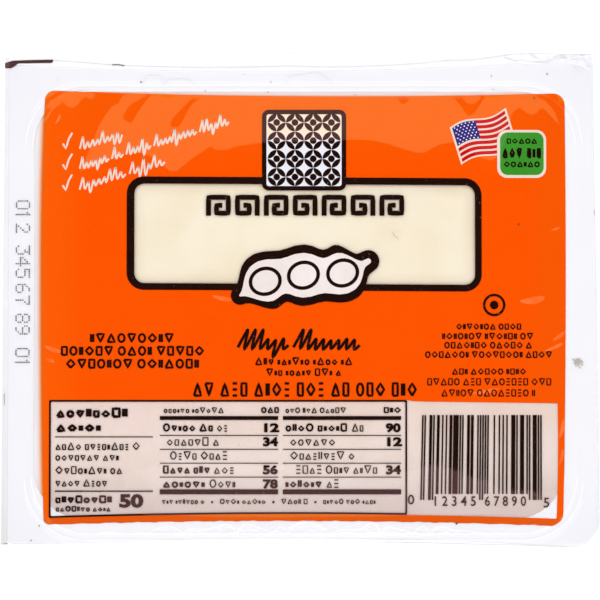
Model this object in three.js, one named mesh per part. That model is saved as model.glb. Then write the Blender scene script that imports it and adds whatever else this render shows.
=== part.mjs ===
// A sealed retail pack of soft tofu: a drafted white plastic tray, the tofu set inside it, and a
// clear lidding film welded to the flange. Millimetres, +Z up. The origin is the centre of the
// base's underside, +X runs along the long side and +Y towards the edge where the film stands proud.
import * as THREE from "three";

// Tray
const trayHeight = 54;
const wall = 0.8;
const mouthHalf = { x: 62.2, y: 50.3, corner: 12 }; // inside edge of the flange
const flangeHalf = { x: 69.2, y: 56.6, corner: 6 };
const flangeBow = { back: 1.6, front: 1.9 }; // how far each long edge shrinks inwards at its middle
const lipRadius = 1.5;
const lipDrop = 3;
const mouthRound = 1;
const wallDraft = THREE.MathUtils.degToRad(5.5);
const baseFillet = 7;
const stackStep = { depth: 7, out: 0.7, rise: 1.2 }; // small ledge under the flange that keeps stacked trays apart
const baseGroove = { inset: 16, width: 5, depth: 1.2, corner: 9 }; // stiffening groove pressed up into the base

// Tofu
const contentGap = 0.3; // clear of the tray wall and base
const headSpace = 0.5; // between the tofu and the film
const tofuEdge = 3; // rounding of the upper edge

// Lidding film
const filmThickness = 0.3;
const filmDome = 1; // rise of the film over the middle of the mouth
const filmSide = { left: 69.9, leftFlare: 0.9, rightBack: 68.6 };
const filmBack = 59; // straight cut edge beyond the back of the flange
const filmDroop = 0.11; // fall of the loose film for each millimetre past the flange
const filmCrumple = { height: 0.7, start: 30, pitch: 11 };

// Resolution
const cornerSteps = 6;
const longSideSteps = 8;
const shortSideSteps = 3;
const filletSteps = 4;
const filmCells = { x: 36, y: 20, overhang: 3, crowding: 1.35 }; // rows crowd towards the trimmed corner

// One closed ring of points round a rectangle with round corners, counter-clockwise from above.
// bow pulls the middle of the back and front sides inwards.
function roundedRing({ x, y, corner }, z, bow = { back: 0, front: 0 }) {
  const shape = new THREE.Shape();
  const cx = x - corner;
  const cy = y - corner;
  shape.absarc(cx, cy, corner, 0, Math.PI / 2);
  shape.absarc(-cx, cy, corner, Math.PI / 2, Math.PI);
  shape.absarc(-cx, -cy, corner, Math.PI, 1.5 * Math.PI);
  shape.absarc(cx, -cy, corner, 1.5 * Math.PI, 2 * Math.PI);
  shape.closePath();
  const points = shape.curves.flatMap((curve) => {
    const length = curve.getLength();
    const straight = curve.isLineCurve;
    const along = straight && Math.abs(curve.v2.y - curve.v1.y) < length / 2;
    const steps = straight ? (along ? longSideSteps : shortSideSteps) : cornerSteps;
    return curve.getPoints(steps).slice(1);
  });
  return points.map((p) => {
    const pull = (1 - (p.x / x) ** 2) * (p.y > 0 ? bow.back : -bow.front);
    const share = Math.min(1, Math.abs(p.y) / y) ** 6;
    return new THREE.Vector3(p.x, p.y - pull * share, z);
  });
}

// A closed solid skinned over a run of rings, each end closed by a fan to its own middle point.
function skinRings(rings, firstMiddle, lastMiddle) {
  const count = rings[0].length;
  const points = [...rings.flat(), firstMiddle, lastMiddle];
  const index = [];
  const first = points.length - 2;
  const last = points.length - 1;
  for (let side = 0; side < count; side++) {
    const next = (side + 1) % count;
    for (let ring = 0; ring + 1 < rings.length; ring++) {
      const low = ring * count;
      const high = low + count;
      index.push(low + side, low + next, high + next);
      index.push(low + side, high + next, high + side);
    }
    index.push(first, next, side);
    index.push(last, (rings.length - 1) * count + side, (rings.length - 1) * count + next);
  }
  const geometry = new THREE.BufferGeometry().setFromPoints(points);
  geometry.setIndex(index);
  return geometry;
}

const offset = (half, by) => ({
  x: half.x + by,
  y: half.y + by,
  corner: Math.max(1, half.corner + by),
});

// Half sizes of the inner wall at a height: the mouth, drawn in by the draft, with the stacking
// ledge left wide near the top.
function innerWallAt(z) {
  const fall = trayHeight - z;
  const ledge = stackStep.out * THREE.MathUtils.smoothstep(fall, stackStep.depth, stackStep.depth + stackStep.rise);
  return offset(mouthHalf, -fall * Math.tan(wallDraft) - ledge);
}

// Rings of the base pressing, from the middle outwards, for a skin that lies out from the inner
// face of the tray by the given amount. rise lifts the skin off the table.
function baseRings(out, rise) {
  const { inset, width, depth, corner } = baseGroove;
  const flank = width / 4;
  const foot = offset(innerWallAt(rise), -inset);
  const groove = { ...foot, corner };
  const ring = (by, lift) => roundedRing(offset(groove, by), rise + lift);
  return [
    ring(out / 2 - width, 0),
    ring(out / 2 - width + flank, depth),
    ring(-out / 2 - flank, depth),
    ring(-out / 2, 0),
  ];
}

// Rings from the base's fillet up the wall to the given height.
function wallRings(out, rise, top) {
  const radius = baseFillet + out;
  const rings = [];
  for (let step = 0; step <= filletSteps; step++) {
    const angle = (step / filletSteps) * (Math.PI / 2 - wallDraft);
    const z = rise + radius * (1 - Math.cos(angle));
    const inset = radius * (Math.cos(wallDraft) - Math.sin(angle));
    rings.push(roundedRing(offset(innerWallAt(z), out - inset), z));
  }
  const ledgeFoot = trayHeight - stackStep.depth - stackStep.rise;
  const ledgeTop = trayHeight - stackStep.depth;
  for (const z of [ledgeFoot, (ledgeFoot + ledgeTop) / 2, ledgeTop, top])
    rings.push(roundedRing(offset(innerWallAt(z), out), z));
  return rings;
}

// The flange and its turned-down lip, from under the flange round to the flat top.
function flangeRings() {
  const under = trayHeight - wall;
  const ring = (by, z) => roundedRing(offset(flangeHalf, by), z, flangeBow);
  const rings = [ring(-wall - lipRadius / 2, under), ring(-wall, under - lipRadius / 2)];
  rings.push(ring(-wall, trayHeight - lipDrop), ring(0, trayHeight - lipDrop));
  for (let step = 0; step <= 3; step++) {
    const angle = (step / 3) * (Math.PI / 2);
    rings.push(ring(lipRadius * (Math.cos(angle) - 1), trayHeight - lipRadius * (1 - Math.sin(angle))));
  }
  return rings;
}

function makeTray() {
  const outside = wallRings(wall, 0, trayHeight - wall);
  const inside = wallRings(0, wall, trayHeight - mouthRound).reverse();
  const mouthEdge = [
    roundedRing(offset(mouthHalf, mouthRound), trayHeight),
    roundedRing(offset(mouthHalf, 0.3 * mouthRound), trayHeight - 0.3 * mouthRound),
  ];
  const rings = [
    ...baseRings(wall, 0),
    ...outside,
    ...flangeRings(),
    ...mouthEdge,
    ...inside,
    ...baseRings(0, wall).reverse(),
  ];
  return skinRings(rings, new THREE.Vector3(0, 0, 0), new THREE.Vector3(0, 0, wall));
}

// Rise of the film over the mouth: nothing at the edge, most in the middle.
function domeAt(x, y) {
  const across = 1 - (x / mouthHalf.x) ** 2;
  const along = 1 - (y / mouthHalf.y) ** 2;
  return across > 0 && along > 0 ? filmDome * across * along : 0;
}

function makeTofu() {
  const floor = wall + contentGap;
  const top = trayHeight - headSpace;
  const rings = [
    ...baseRings(-contentGap, floor),
    ...wallRings(-contentGap, floor, top - tofuEdge),
  ];
  for (let step = 1; step <= filletSteps; step++) {
    const angle = (step / filletSteps) * (Math.PI / 2);
    const inset = tofuEdge * (1 - Math.cos(angle));
    const z = top - tofuEdge * (1 - Math.sin(angle));
    rings.push(roundedRing(offset(innerWallAt(top - tofuEdge), -contentGap - inset), z));
  }
  const rim = offset(innerWallAt(top - tofuEdge), -contentGap - tofuEdge);
  for (const share of [0.8, 0.5, 0.2]) {
    const half = { x: rim.x * share, y: rim.y * share, corner: rim.corner * share };
    rings.push(roundedRing(half, 0).map((p) => p.setZ(top + domeAt(p.x, p.y))));
  }
  const heart = new THREE.Vector3(0, 0, floor);
  return skinRings(rings, heart, new THREE.Vector3(0, 0, top + filmDome));
}

// Where the flange's back and front edges run.
const flangeBackAt = (x) => flangeHalf.y - flangeBow.back * (1 - (x / flangeHalf.x) ** 2);
const flangeFrontAt = (x) => -flangeHalf.y + flangeBow.front * (1 - (x / flangeHalf.x) ** 2);

// The film's cut edges: square at three corners, trimmed round the fourth with the flange.
function filmLeftAt(y) {
  return -filmSide.left - filmSide.leftFlare * THREE.MathUtils.smoothstep(-y, 20, 56);
}

function filmRightAt(y) {
  const bend = Math.max(0, -y - (flangeHalf.y - flangeHalf.corner));
  const round = flangeHalf.corner - Math.sqrt(Math.max(0, flangeHalf.corner ** 2 - bend ** 2));
  return THREE.MathUtils.mapLinear(y, -flangeHalf.y, filmBack, flangeHalf.x, filmSide.rightBack) - round;
}

// Height of the film's underside: flat on the flange, domed over the mouth, and drooping and
// crumpled where it is loose past the back edge.
function filmHeightAt(x, y) {
  const past = Math.max(0, y - flangeBackAt(x));
  const loose = THREE.MathUtils.smoothstep(x, filmCrumple.start, flangeHalf.x);
  const crease = Math.abs(Math.sin((Math.PI * x) / filmCrumple.pitch)) * filmCrumple.height * loose;
  return trayHeight + domeAt(x, y) - filmDroop * past + crease * Math.min(1, past);
}

function makeFilm() {
  const rows = filmCells.y + filmCells.overhang;
  const points = [];
  for (const thickness of [0, filmThickness])
    for (let row = 0; row <= rows; row++)
      for (let column = 0; column <= filmCells.x; column++) {
        const share = column / filmCells.x;
        const x = (share - 0.5) * 2 * flangeHalf.x;
        const front = flangeFrontAt(x);
        const back = flangeBackAt(x);
        const onFlange = Math.min(1, row / filmCells.y) ** filmCells.crowding;
        const past = Math.max(0, row - filmCells.y) / filmCells.overhang;
        const y = front + (back - front) * onFlange + (filmBack - back) * past;
        const across = filmLeftAt(y) + (filmRightAt(y) - filmLeftAt(y)) * share;
        points.push(new THREE.Vector3(across, y, filmHeightAt(across, y) + thickness));
      }
  const width = filmCells.x + 1;
  const layer = width * (rows + 1);
  const index = [];
  const quad = (a, b, c, d) => index.push(a, b, c, a, c, d);
  for (let row = 0; row < rows; row++)
    for (let column = 0; column < filmCells.x; column++) {
      const near = row * width + column;
      const far = near + width;
      quad(layer + near, layer + near + 1, layer + far + 1, layer + far);
      quad(near, far, far + 1, near + 1);
    }
  for (let column = 0; column < filmCells.x; column++) {
    const back = rows * width + column;
    quad(column, column + 1, layer + column + 1, layer + column);
    quad(back + 1, back, layer + back, layer + back + 1);
  }
  for (let row = 0; row < rows; row++) {
    const left = row * width;
    const right = left + width - 1;
    quad(left + width, left, layer + left, layer + left + width);
    quad(right, right + width, layer + right + width, layer + right);
  }
  const geometry = new THREE.BufferGeometry().setFromPoints(points);
  geometry.setIndex(index);
  return geometry;
}

function addPiece(group, name, geometry, finish) {
  geometry.computeVertexNormals();
  const mesh = new THREE.Mesh(geometry, new THREE.MeshStandardMaterial(finish));
  mesh.name = name;
  group.add(mesh);
}

const group = new THREE.Group();
addPiece(group, "tray", makeTray(), { color: 0xf6f6f9, roughness: 0.38, metalness: 0 });
addPiece(group, "tofu_block", makeTofu(), { color: 0xf9edd4, roughness: 0.55, metalness: 0 });
addPiece(group, "lid_film", makeFilm(), { color: 0xfe5401, roughness: 0.12, metalness: 0 });

export default group;
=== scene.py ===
import math
import random

import bpy
import numpy as np
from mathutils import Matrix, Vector, noise
from mathutils.geometry import delaunay_2d_cdt, intersect_line_line_2d


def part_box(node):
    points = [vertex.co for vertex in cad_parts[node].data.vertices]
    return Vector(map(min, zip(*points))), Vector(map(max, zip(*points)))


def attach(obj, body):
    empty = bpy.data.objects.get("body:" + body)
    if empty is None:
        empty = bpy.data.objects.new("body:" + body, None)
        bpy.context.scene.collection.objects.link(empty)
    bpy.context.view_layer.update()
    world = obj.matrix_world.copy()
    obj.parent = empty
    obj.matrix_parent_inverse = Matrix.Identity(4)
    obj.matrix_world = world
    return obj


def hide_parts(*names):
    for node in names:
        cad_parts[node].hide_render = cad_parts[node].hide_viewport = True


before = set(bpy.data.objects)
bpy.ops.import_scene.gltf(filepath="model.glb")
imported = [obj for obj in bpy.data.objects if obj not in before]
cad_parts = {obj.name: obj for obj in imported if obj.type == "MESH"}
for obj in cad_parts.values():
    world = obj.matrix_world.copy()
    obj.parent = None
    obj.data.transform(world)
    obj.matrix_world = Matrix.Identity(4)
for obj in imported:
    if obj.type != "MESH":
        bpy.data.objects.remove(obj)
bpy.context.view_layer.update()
mm = 0.001
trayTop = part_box("tray")[1].z / mm  # the flange's flat top, where the film is welded

# All sizes below are millimetres, x to the right and y towards the back edge of the pack.
trayShape = {
    "mouth": (61.95, 50.3, 12.0),  # half length, half width and corner of the opening
    "mouthShift": -0.4,
    "mouthBow": 0.5,  # how far the opening's back edge bends in
    "flange": (69.2, 56.6, 6.0),
    "flangeCorners": (0.2, 0.45, 0.35, 1.15),  # each corner's share of that radius, back right first
    "flangeLeft": -68.9,
    "flangeRight": (69.8, 68.6),  # at the front and at the back
    "flangeFront": (
        (-69, -56.15), (-65.6, -56.15), (-56.4, -56.05), (-47, -55.8), (-28, -55.1), (-12, -54.75),
        (6.8, -54.8), (18.5, -55.05), (28, -55.2), (39.6, -55.6), (51.3, -56.2), (60.6, -56.8), (69, -57.3),
    ),
    "wall": 0.8,
    "draft": math.radians(5.5),
    "baseFillet": 7.0,
    "ledge": {"depth": 7.0, "out": 0.7, "rise": 1.2},
    "groove": {"inset": 16.0, "width": 5.0, "depth": 1.2, "corner": 9.0},
    "lipRadius": 0.6,
    "lipInside": 0.8,
    "lipDrop": 3.0,
    "lipEdge": 0.4,
    "mouthRound": 0.12,
    # from where the painted shade of the corners is measured
    "shadedCorner": (69.0, 56.5),
}

# Two raised weld lines run round the flange, and small arches where the weld ends in front of the mouth.
weldShape = {
    "rings": (((-64.5, -55.2), (65.9, 51.3), 14.0), ((-62.9, -53.7), (64.4, 50.0), 13.0)),
    "rise": 0.06,
    "spread": 0.42,
    "lineWidth": 0.26,
    "lineHeight": 0.03,
    "sideFade": (0.12, 4, 33, 42),  # what is left of the beads along the short sides, their middle, and where
    "tunnel": {"rise": 0.06, "width": 0.26, "lift": 0.04, "past": 0.5, "mouth": 1.5, "sides": (-56, -46)},
    "archWaves": ((0.33, 0.21, 1), (0.2, 0.57, 2)),  # size and rate of what makes the arches uneven
    "ends": (  # height and pitch of the arches, where they start, their unevenness, foot and reach
        (2.5, 8.6, 0, 1.3, -53.5, (-47.0, 50.0)), (1.3, 6.2, 3, 4.4, -54.0, (-30.0, 44.0)),
        (1.0, 4.4, 1.5, 2.6, -52.9, (-24.0, 37.0)), (0.7, 5.3, 0.5, 3.7, -54.3, (-12.0, 30.0)),
    ),
}

filmShape = {
    "thickness": 0.2,
    "gap": 0.04,
    "dome": 0.7,
    "left": (-70.15, -69.5),  # at the front and at the back
    "right": (69.9, 68.65),
    "back": 58.9,
    "overhang": ((8, 0), (18.5, 0.6), (28, 0.62), (39.6, 0.55), (51.3, 0.2), (60, 0)),  # past the front
    "droop": 0.11,
    "leftDroop": 0.5,
    "crumpleFrom": 46.0,
    "crumple": 0.5,
    "crumpleWaves": ((1.0, 0.62, 0.9, 0.0), (0.8, 0.95, -0.7, 1.0)),  # size, rate along x and y, and start
    "waves": 0.03,
    "waveLengths": ((1.0, 46, 3), (0.42, 15, 8)),  # share, length and random seed
    "calm": (0.8, 5, 25),  # how much flatter the back is, and between which places it gets so
    "shoulder": (-0.4, 1.4),  # where the film rises beside the opening
    "folds": ((-66.0, -56.0, 0.025, 16.0), (66.0, -56.0, 0.03, 18.0)),  # corner, depth and reach
    "foldRadius": (18, 8, 16),  # where the folds are deepest, and between which radii they start
    "foldLength": 9.0,
    "lean": 0.042,  # slope of the slack film where it leans to the back edge
}

# Folds of the slack film: inside the first outlines it leans to the back, inside the second ones it is level.
leaning = (
    (
        (-51.7, 31), (-46.8, 32.6), (-42.1, 35), (-37.4, 35.4), (-35.1, 34.5), (-33.2, 33.1), (-30.9, 31.1),
        (-29, 31), (-25.8, 33.8), (-22.3, 36.1), (-21.1, 37.1), (-20.4, 36.1), (-16.9, 36.1), (-15.7, 36.8),
        (-8.9, 37.8), (-0.1, 38), (13.9, 38.5), (17.4, 38.2), (20.9, 37.3), (24.5, 36.1), (26.8, 35.4),
        (29.1, 35.4), (31, 36.6), (32.9, 37.5), (35.4, 37.8), (37.3, 36.8), (41.5, 34.5), (44.3, 33.5),
        (46.2, 34.3), (48, 38.5), (49.5, 44.8), (51.3, 46.2), (52.7, 45), (54.1, 44.3), (55.3, 44.8),
        (56.2, 46), (57.4, 45.5), (58.8, 44.1), (60.4, 42.4), (59.7, 45), (58.1, 46.9), (56.3, 48.5),
        (55.3, 51.1), (-41.4, 51.1), (-41.9, 49), (-42.6, 47.1), (-44.5, 46.2), (-45.9, 44.1), (-47.3, 42),
        (-49.1, 37.3), (-50.5, 33.8),
    ),
    (
        (-61.3, 41.7), (-59.4, 43.4), (-58.3, 45.5), (-56.9, 46.9), (-55.9, 47.4), (-54.8, 46.4),
        (-53.6, 46), (-52.4, 46.7), (-51.5, 48.1), (-49.6, 49.2), (-47.3, 51.1), (-49.6, 51.1), (-52, 49.5),
        (-53.1, 48.5), (-54.8, 48.3), (-56.2, 48.1), (-57.6, 46.7), (-59, 45),
    ),
    (
        (-60.4, 46.4), (-59.2, 47.6), (-57.3, 48.5), (-55.2, 49), (-52.9, 49.7), (-51.5, 51.1),
        (-53.8, 50.4), (-56.6, 49.7), (-58.5, 48.8),
    ),
)
level = (
    (
        (-35.8, 51.1), (-37.2, 48.5), (-38.4, 47.6), (-39.6, 47.1), (-40.7, 46), (-41.9, 43.6),
        (-40.7, 42.7), (-39.8, 42.2), (-38.4, 44.6), (-36.8, 46.9), (-35.4, 48.8), (-34, 51.1),
    ),
    (
        (-24.1, 51.1), (-25.1, 48.8), (-26.2, 47.6), (-27.6, 46.2), (-30, 43.6), (-30.9, 41.7),
        (-29.7, 41.4), (-28.6, 41.5), (-26.7, 44.8), (-25.5, 46.9), (-23.9, 47.8), (-22, 51.1),
    ),
    (
        (35, 51.1), (35.9, 48.1), (37.6, 46.4), (38.5, 44.8), (39.4, 44.1), (40.8, 44.8), (42.2, 46.9),
        (42.9, 48.1), (44.3, 51.1), (42.9, 51.1), (42, 48.1), (40.6, 46.9), (39, 47.1), (38, 48.1),
        (37.3, 51.1),
    ),
    ((21.7, 51.1), (22.4, 48.5), (23.3, 47.1), (24.2, 46.7), (25.2, 47.6), (25.6, 48.5), (26.3, 51.1)),
)
creaseLines = [list(outline) for outline in leaning + level]

# How deep each ink lies under the film's outer face. Print on the inside of a film starts with the darkest.
inkDepth = {
    "frontDark": 0.01, "frontWhite": 0.028, "dark": 0.046, "green": 0.064, "badge": 0.082,
    "dots": 0.1, "accent": 0.118, "white": 0.136, "streakHighlight": 0.148, "orange": 0.16, "blue": 0.114,
    "above": -0.012, "code": -0.02, "crease": 0.1, "weld": 0.23, "haze": 0.22,
}
inkThickness = 0.01


def smooth(value, low, high):
    t = np.clip((value - low) / (high - low), 0.0, 1.0)
    return t * t * (3 - 2 * t)


def alongTable(place, table):  # reads between the rows of a table of (place, value)
    return np.interp(place, *zip(*table))


def roundDistance(x, y, low, high, corner):  # below 0 inside the rounded rectangle
    away = [np.abs(v - (a + b) / 2) - ((b - a) / 2 - corner) for v, a, b in zip((x, y), low, high)]
    outside = np.hypot(np.maximum(away[0], 0), np.maximum(away[1], 0))
    return outside + np.minimum(np.maximum(*away), 0) - corner


def bend(place, vertex=0.0, amount=0.0):  # an edge that bows: where it is, at which place, and by how much
    return lambda along: place + amount * (np.asarray(along, float) - vertex) ** 2


def sidesOf(outline):
    return list(zip(outline, outline[1:] + outline[:1]))


def between(start, end, share):
    return start[0] + (end[0] - start[0]) * share, start[1] + (end[1] - start[1]) * share


def placed(points, middle, turn):  # turned about the origin, then moved
    cos, sin = math.cos(turn), math.sin(turn)
    return [(middle[0] + x * cos - y * sin, middle[1] + x * sin + y * cos) for x, y in points]


def asPoints(x, y):
    return [(float(a), float(b)) for a, b in zip(*np.broadcast_arrays(x, y))]


flangeBack = bend(54.8, -10.0, 4.8e-4)


def flangeFront(x):
    return alongTable(x, trayShape["flangeFront"])


def flangeRight(y):
    halfY = trayShape["flange"][1]
    return np.interp(y, [-halfY, halfY], trayShape["flangeRight"])


def mouthBow(x, y):  # how far the back of the opening is bent in at this place
    halfX, halfY, _ = trayShape["mouth"]
    return trayShape["mouthBow"] * (1 - np.clip(x / halfX, -1, 1) ** 2) * np.clip(y / halfY, 0, 1) ** 6


def mouthDistance(x, y):
    halfX, halfY, corner = trayShape["mouth"]
    x = x - trayShape["mouthShift"]
    return roundDistance(x, y + mouthBow(x, y), (-halfX, -halfY), (halfX, halfY), corner)


def sealBeads(x, y):  # low beads pressed into the flange under the weld lines, fading along the short sides
    left, middle, low, high = weldShape["sideFade"]
    total, fade = 0.0, left + (1 - left) * smooth(np.abs(y - middle), low, high)
    for ring in weldShape["rings"]:
        total = total + weldShape["rise"] * np.exp(-((roundDistance(x, y, *ring) / weldShape["spread"]) ** 2))
    return total * fade


def arches(x, pitch, shift):  # uneven row of arches from 0 to 1
    uneven = sum(size * np.sin(rate * x + times * shift) for size, rate, times in weldShape["archWaves"])
    return np.abs(np.sin(np.pi * (x / pitch + uneven))) * (0.7 + 0.3 * np.sin(0.4 * x + shift))


def weldEnd(x, line=0):  # the uneven front edge of the weld, where the film stands off in arches
    height, pitch, offset, shift, foot, _ = weldShape["ends"][line]
    ends = smooth(x, -46, -20) * smooth(-x, -54, -44)
    return foot + height * arches(x + offset, pitch, shift) * (0.25 + 0.75 * ends) - 2.4e-4 * np.abs(x) ** 2


def filmTunnels(x, y):
    past, halfY, tunnel = weldEnd(x) - y, trayShape["mouth"][1], weldShape["tunnel"]
    ridge = tunnel["rise"] * np.exp(-((past / tunnel["width"]) ** 2))
    lifted = tunnel["lift"] * smooth(-past, 0.0, tunnel["past"]) * smooth(-y, halfY - tunnel["mouth"], halfY)
    return (ridge + lifted) * smooth(-np.abs(x), *tunnel["sides"])


def ripples(x, y, length, seed, count=9):  # smooth uneven swells of about this length, in every direction
    draw = random.Random(seed)
    total = 0.0
    for _ in range(count):
        angle, phase = draw.uniform(0, math.pi), draw.uniform(0, 2 * math.pi)
        rate = 2 * math.pi / (length * draw.uniform(0.7, 1.5))
        total = total + np.sin(rate * (x * math.cos(angle) + y * math.sin(angle)) + phase)
    return total / math.sqrt(count)


def leanDepth(x, y):  # how far towards the back the film has been leaning, along a line through each place
    total = np.zeros_like(x)
    for index, outline in enumerate(creaseLines):
        area = sum(a[0] * b[1] - b[0] * a[1] for a, b in sidesOf(outline))
        side = math.copysign(1, area) * (1 if index < len(leaning) else -1)
        for start, end in sidesOf(outline):
            low, high = min(start[0], end[0]), max(start[0], end[0])
            if high > low:
                crossing = start[1] + (x - start[0]) * (end[1] - start[1]) / (end[0] - start[0])
                past = np.where((x >= low) & (x < high), np.maximum(y - crossing, 0), 0)
                total += side * math.copysign(1, end[0] - start[0]) * past
    return total


def filmFolds(x, y):  # tension folds that curve round the front corners of the mouth
    total, (deepest, *start) = 0.0, filmShape["foldRadius"]
    for index, (cornerX, cornerY, depth, reach) in enumerate(filmShape["folds"]):
        awayX, awayY = x - cornerX, y - cornerY
        radius = np.hypot(awayX, awayY)
        turn = np.arctan2(awayY, awayX * math.copysign(1, -cornerX))
        swell = np.exp(-(((radius - deepest) / reach) ** 2)) * smooth(radius, *start)
        uneven = radius + 1.6 * ripples(x, y, 16, 61 + index)
        total = total + depth * swell * ripples(turn * 7, uneven, filmShape["foldLength"], 31 + index)
    return total


def filmDome(x, y):
    halfX, halfY, _ = trayShape["mouth"]
    across = np.clip(1 - np.abs(x / halfX) ** 3, 0, 1)
    along = np.clip(1 - np.maximum(-y / halfY, 0) ** 3, 0, 1)
    return filmShape["dome"] * across * along - filmShape["lean"] * leanDepth(x, y)


def filmTop(x, y):
    x, y = np.asarray(x, float), np.asarray(y, float)
    inside = smooth(-mouthDistance(x, y), 0, 10)
    shoulder = smooth(-mouthDistance(x, y), *filmShape["shoulder"])
    calm, *places = filmShape["calm"]
    waves = sum(share * ripples(x, y, length, seed) for share, length, seed in filmShape["waveLengths"])
    waves = waves * (1 - calm * smooth(y, *places))
    past = np.maximum(y - flangeBack(x), 0)
    loose = smooth(x, filmShape["crumpleFrom"], filmShape["crumpleFrom"] + 8) * smooth(past, 0.0, 1.2)
    creases = sum(size * np.abs(np.sin(a * x + b * y + c)) for size, a, b, c in filmShape["crumpleWaves"])
    sag = filmShape["droop"] * past * (0.7 + 0.3 * np.sin(0.09 * x + 0.7))
    leftPast = np.maximum(trayShape["flangeLeft"] + 0.3 - x, 0)
    height = trayTop + filmShape["thickness"] + filmShape["gap"]
    height = height + filmDome(x, y) * shoulder + filmShape["waves"] * waves * inside
    height = height + filmFolds(x, y) + sealBeads(x, y) + filmTunnels(x, y)
    return height - sag + filmShape["crumple"] * creases * loose - filmShape["leftDroop"] * leftPast


labelShape = {
    "block": ((-60.25, -51.4), (61.8, 49.65), (2.7, 2.2, 1.4, 2.9)),  # corners from the back right one round
    "window": ((-40.75, 3.26), (42.3, 29.8), 4.0),
    "windowInner": ((-38.97, 4.82), (40.75, 28.15), 2.4),
    "windowSlope": (-0.0054, -35.3),  # the window's border is printed a little askew from this place on
    "borderMiddle": 0.8,
    "panels": ((-58.8, -49.9), (60.0, -22.5), 0.3),
    "nutrition": ((-58.8, -49.8), (24.8, -22.5), 0.3),
    "frameLine": 0.42,
}
labelEdges = {
    "left": lambda y: -60.79 + np.where(y > 12, 5.8e-4, 1.9e-4) * (np.asarray(y, float) - 12) ** 2,
    "right": bend(62.03, 18.0, -1.8e-4),
    "front": bend(-50.66, -3.7, -2.9e-4),
    "back": bend(48.68, 10.3, 2.95e-4),
}


def windowOutline(grow=0.0, rect="window"):
    low, high, corner = labelShape[rect]
    slope, start = labelShape["windowSlope"]
    left, right, front, back = low[0] - grow, high[0] + grow, low[1] - grow, high[1] + grow
    return bentOutline(((left, front), (right, back), corner + grow), {
        "left": bend(left), "right": bend(right),
        "front": lambda x: front + slope * (x - start), "back": lambda x: back + slope * (x - start),
    })


def roundedOutline(low, high, corners, steps=8):
    points = []
    for index, (sideX, sideY) in enumerate(((1, 1), (0, 1), (0, 0), (1, 0))):
        corner = corners[index] if isinstance(corners, tuple) else corners
        middleX = high[0] - corner if sideX else low[0] + corner
        middleY = high[1] - corner if sideY else low[1] + corner
        points += arc(middleX, middleY, corner, corner, 90 * index, 90 * index + 90, steps)
    return points


def finely(outline, spacing, closed=True):  # the same outline with its long sides cut up
    points = []
    for start, end in sidesOf(outline)[: None if closed else -1]:
        cuts = max(1, round(math.dist(start, end) / spacing))
        points += [between(start, end, cut / cuts) for cut in range(cuts)]
    return points if closed else points + [outline[-1]]


def bentOutline(rect, edges, steps=10):  # a rounded rectangle whose sides follow the given edges
    low, high, corner = rect
    points = []
    for x, y in finely(roundedOutline(low, high, corner, steps), 1.3):
        u, v = (x - low[0]) / (high[0] - low[0]), (y - low[1]) / (high[1] - low[1])
        shiftX = (edges["left"](y) - low[0]) * (1 - u) + (edges["right"](y) - high[0]) * u
        shiftY = (edges["front"](x) - low[1]) * (1 - v) + (edges["back"](x) - high[1]) * v
        points.append((float(x + shiftX), float(y + shiftY)))
    return points


def arc(middleX, middleY, reachX, reachY, start, end, steps):  # angles in degrees
    angles = [math.radians(start + (end - start) * step / steps) for step in range(steps + 1)]
    return [(middleX + reachX * math.cos(angle), middleY + reachY * math.sin(angle)) for angle in angles]


def circleOutline(x, y, radius, steps=28):
    return arc(x, y, radius, radius, 0, 360, steps)[:-1]


def insideOutlines(points, outlines):  # even-odd rule
    hit = np.zeros(len(points), bool)
    x, y = points[:, 0], points[:, 1]
    for outline in outlines:
        for (startX, startY), (endX, endY) in sidesOf(outline):
            if startY != endY:
                crossing = startX + (y - startY) * (endX - startX) / (endY - startY)
                hit ^= ((startY > y) != (endY > y)) & (x < crossing)
    return hit


def creasePoints(outlines, creases, spacing=0.5, beside=0.13):  # points along each crease and beside it
    middle, edges, flanks = [], [], []
    for crease in creases:
        line = np.array(finely(crease, spacing))
        ahead = np.roll(line, -1, 0) - np.roll(line, 1, 0)
        normal = np.column_stack([-ahead[:, 1], ahead[:, 0]]) / np.hypot(*ahead.T)[:, None]
        inside = insideOutlines(line, outlines)
        for index in np.flatnonzero(inside):
            if index and inside[index - 1]:
                edges.append((len(middle) - 1, len(middle)))
            middle.append(tuple(line[index]))
        for flank in (line - beside * normal, line + beside * normal):
            flanks += [tuple(p) for p in flank[insideOutlines(flank, outlines)]]
    return middle, edges, flanks


def cutAtCreases(outline, creases):  # adds a point to the outline wherever a crease crosses it
    low, high = np.min(outline, 0), np.max(outline, 0)
    near = [side for crease in creases for side in sidesOf(crease)
            if np.all(np.max(side, 0) > low) and np.all(np.min(side, 0) < high)]
    points = []
    for start, end in sidesOf(outline):
        crossings = [intersect_line_line_2d(start, end, *side) for side in near]
        crossings = [tuple(c) for c in crossings if c and min(math.dist(c, start), math.dist(c, end)) > 0.02]
        points += [start] + sorted(crossings, key=lambda c: math.dist(c, start))
    return points


def gridPoints(columns, rows):
    return np.array([(x, y) for y in rows for x in columns])


def farFrom(others, points, reach):
    others = np.array(others)
    return np.array([np.min(np.hypot(*(others - p).T)) > reach for p in points], bool)


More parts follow.
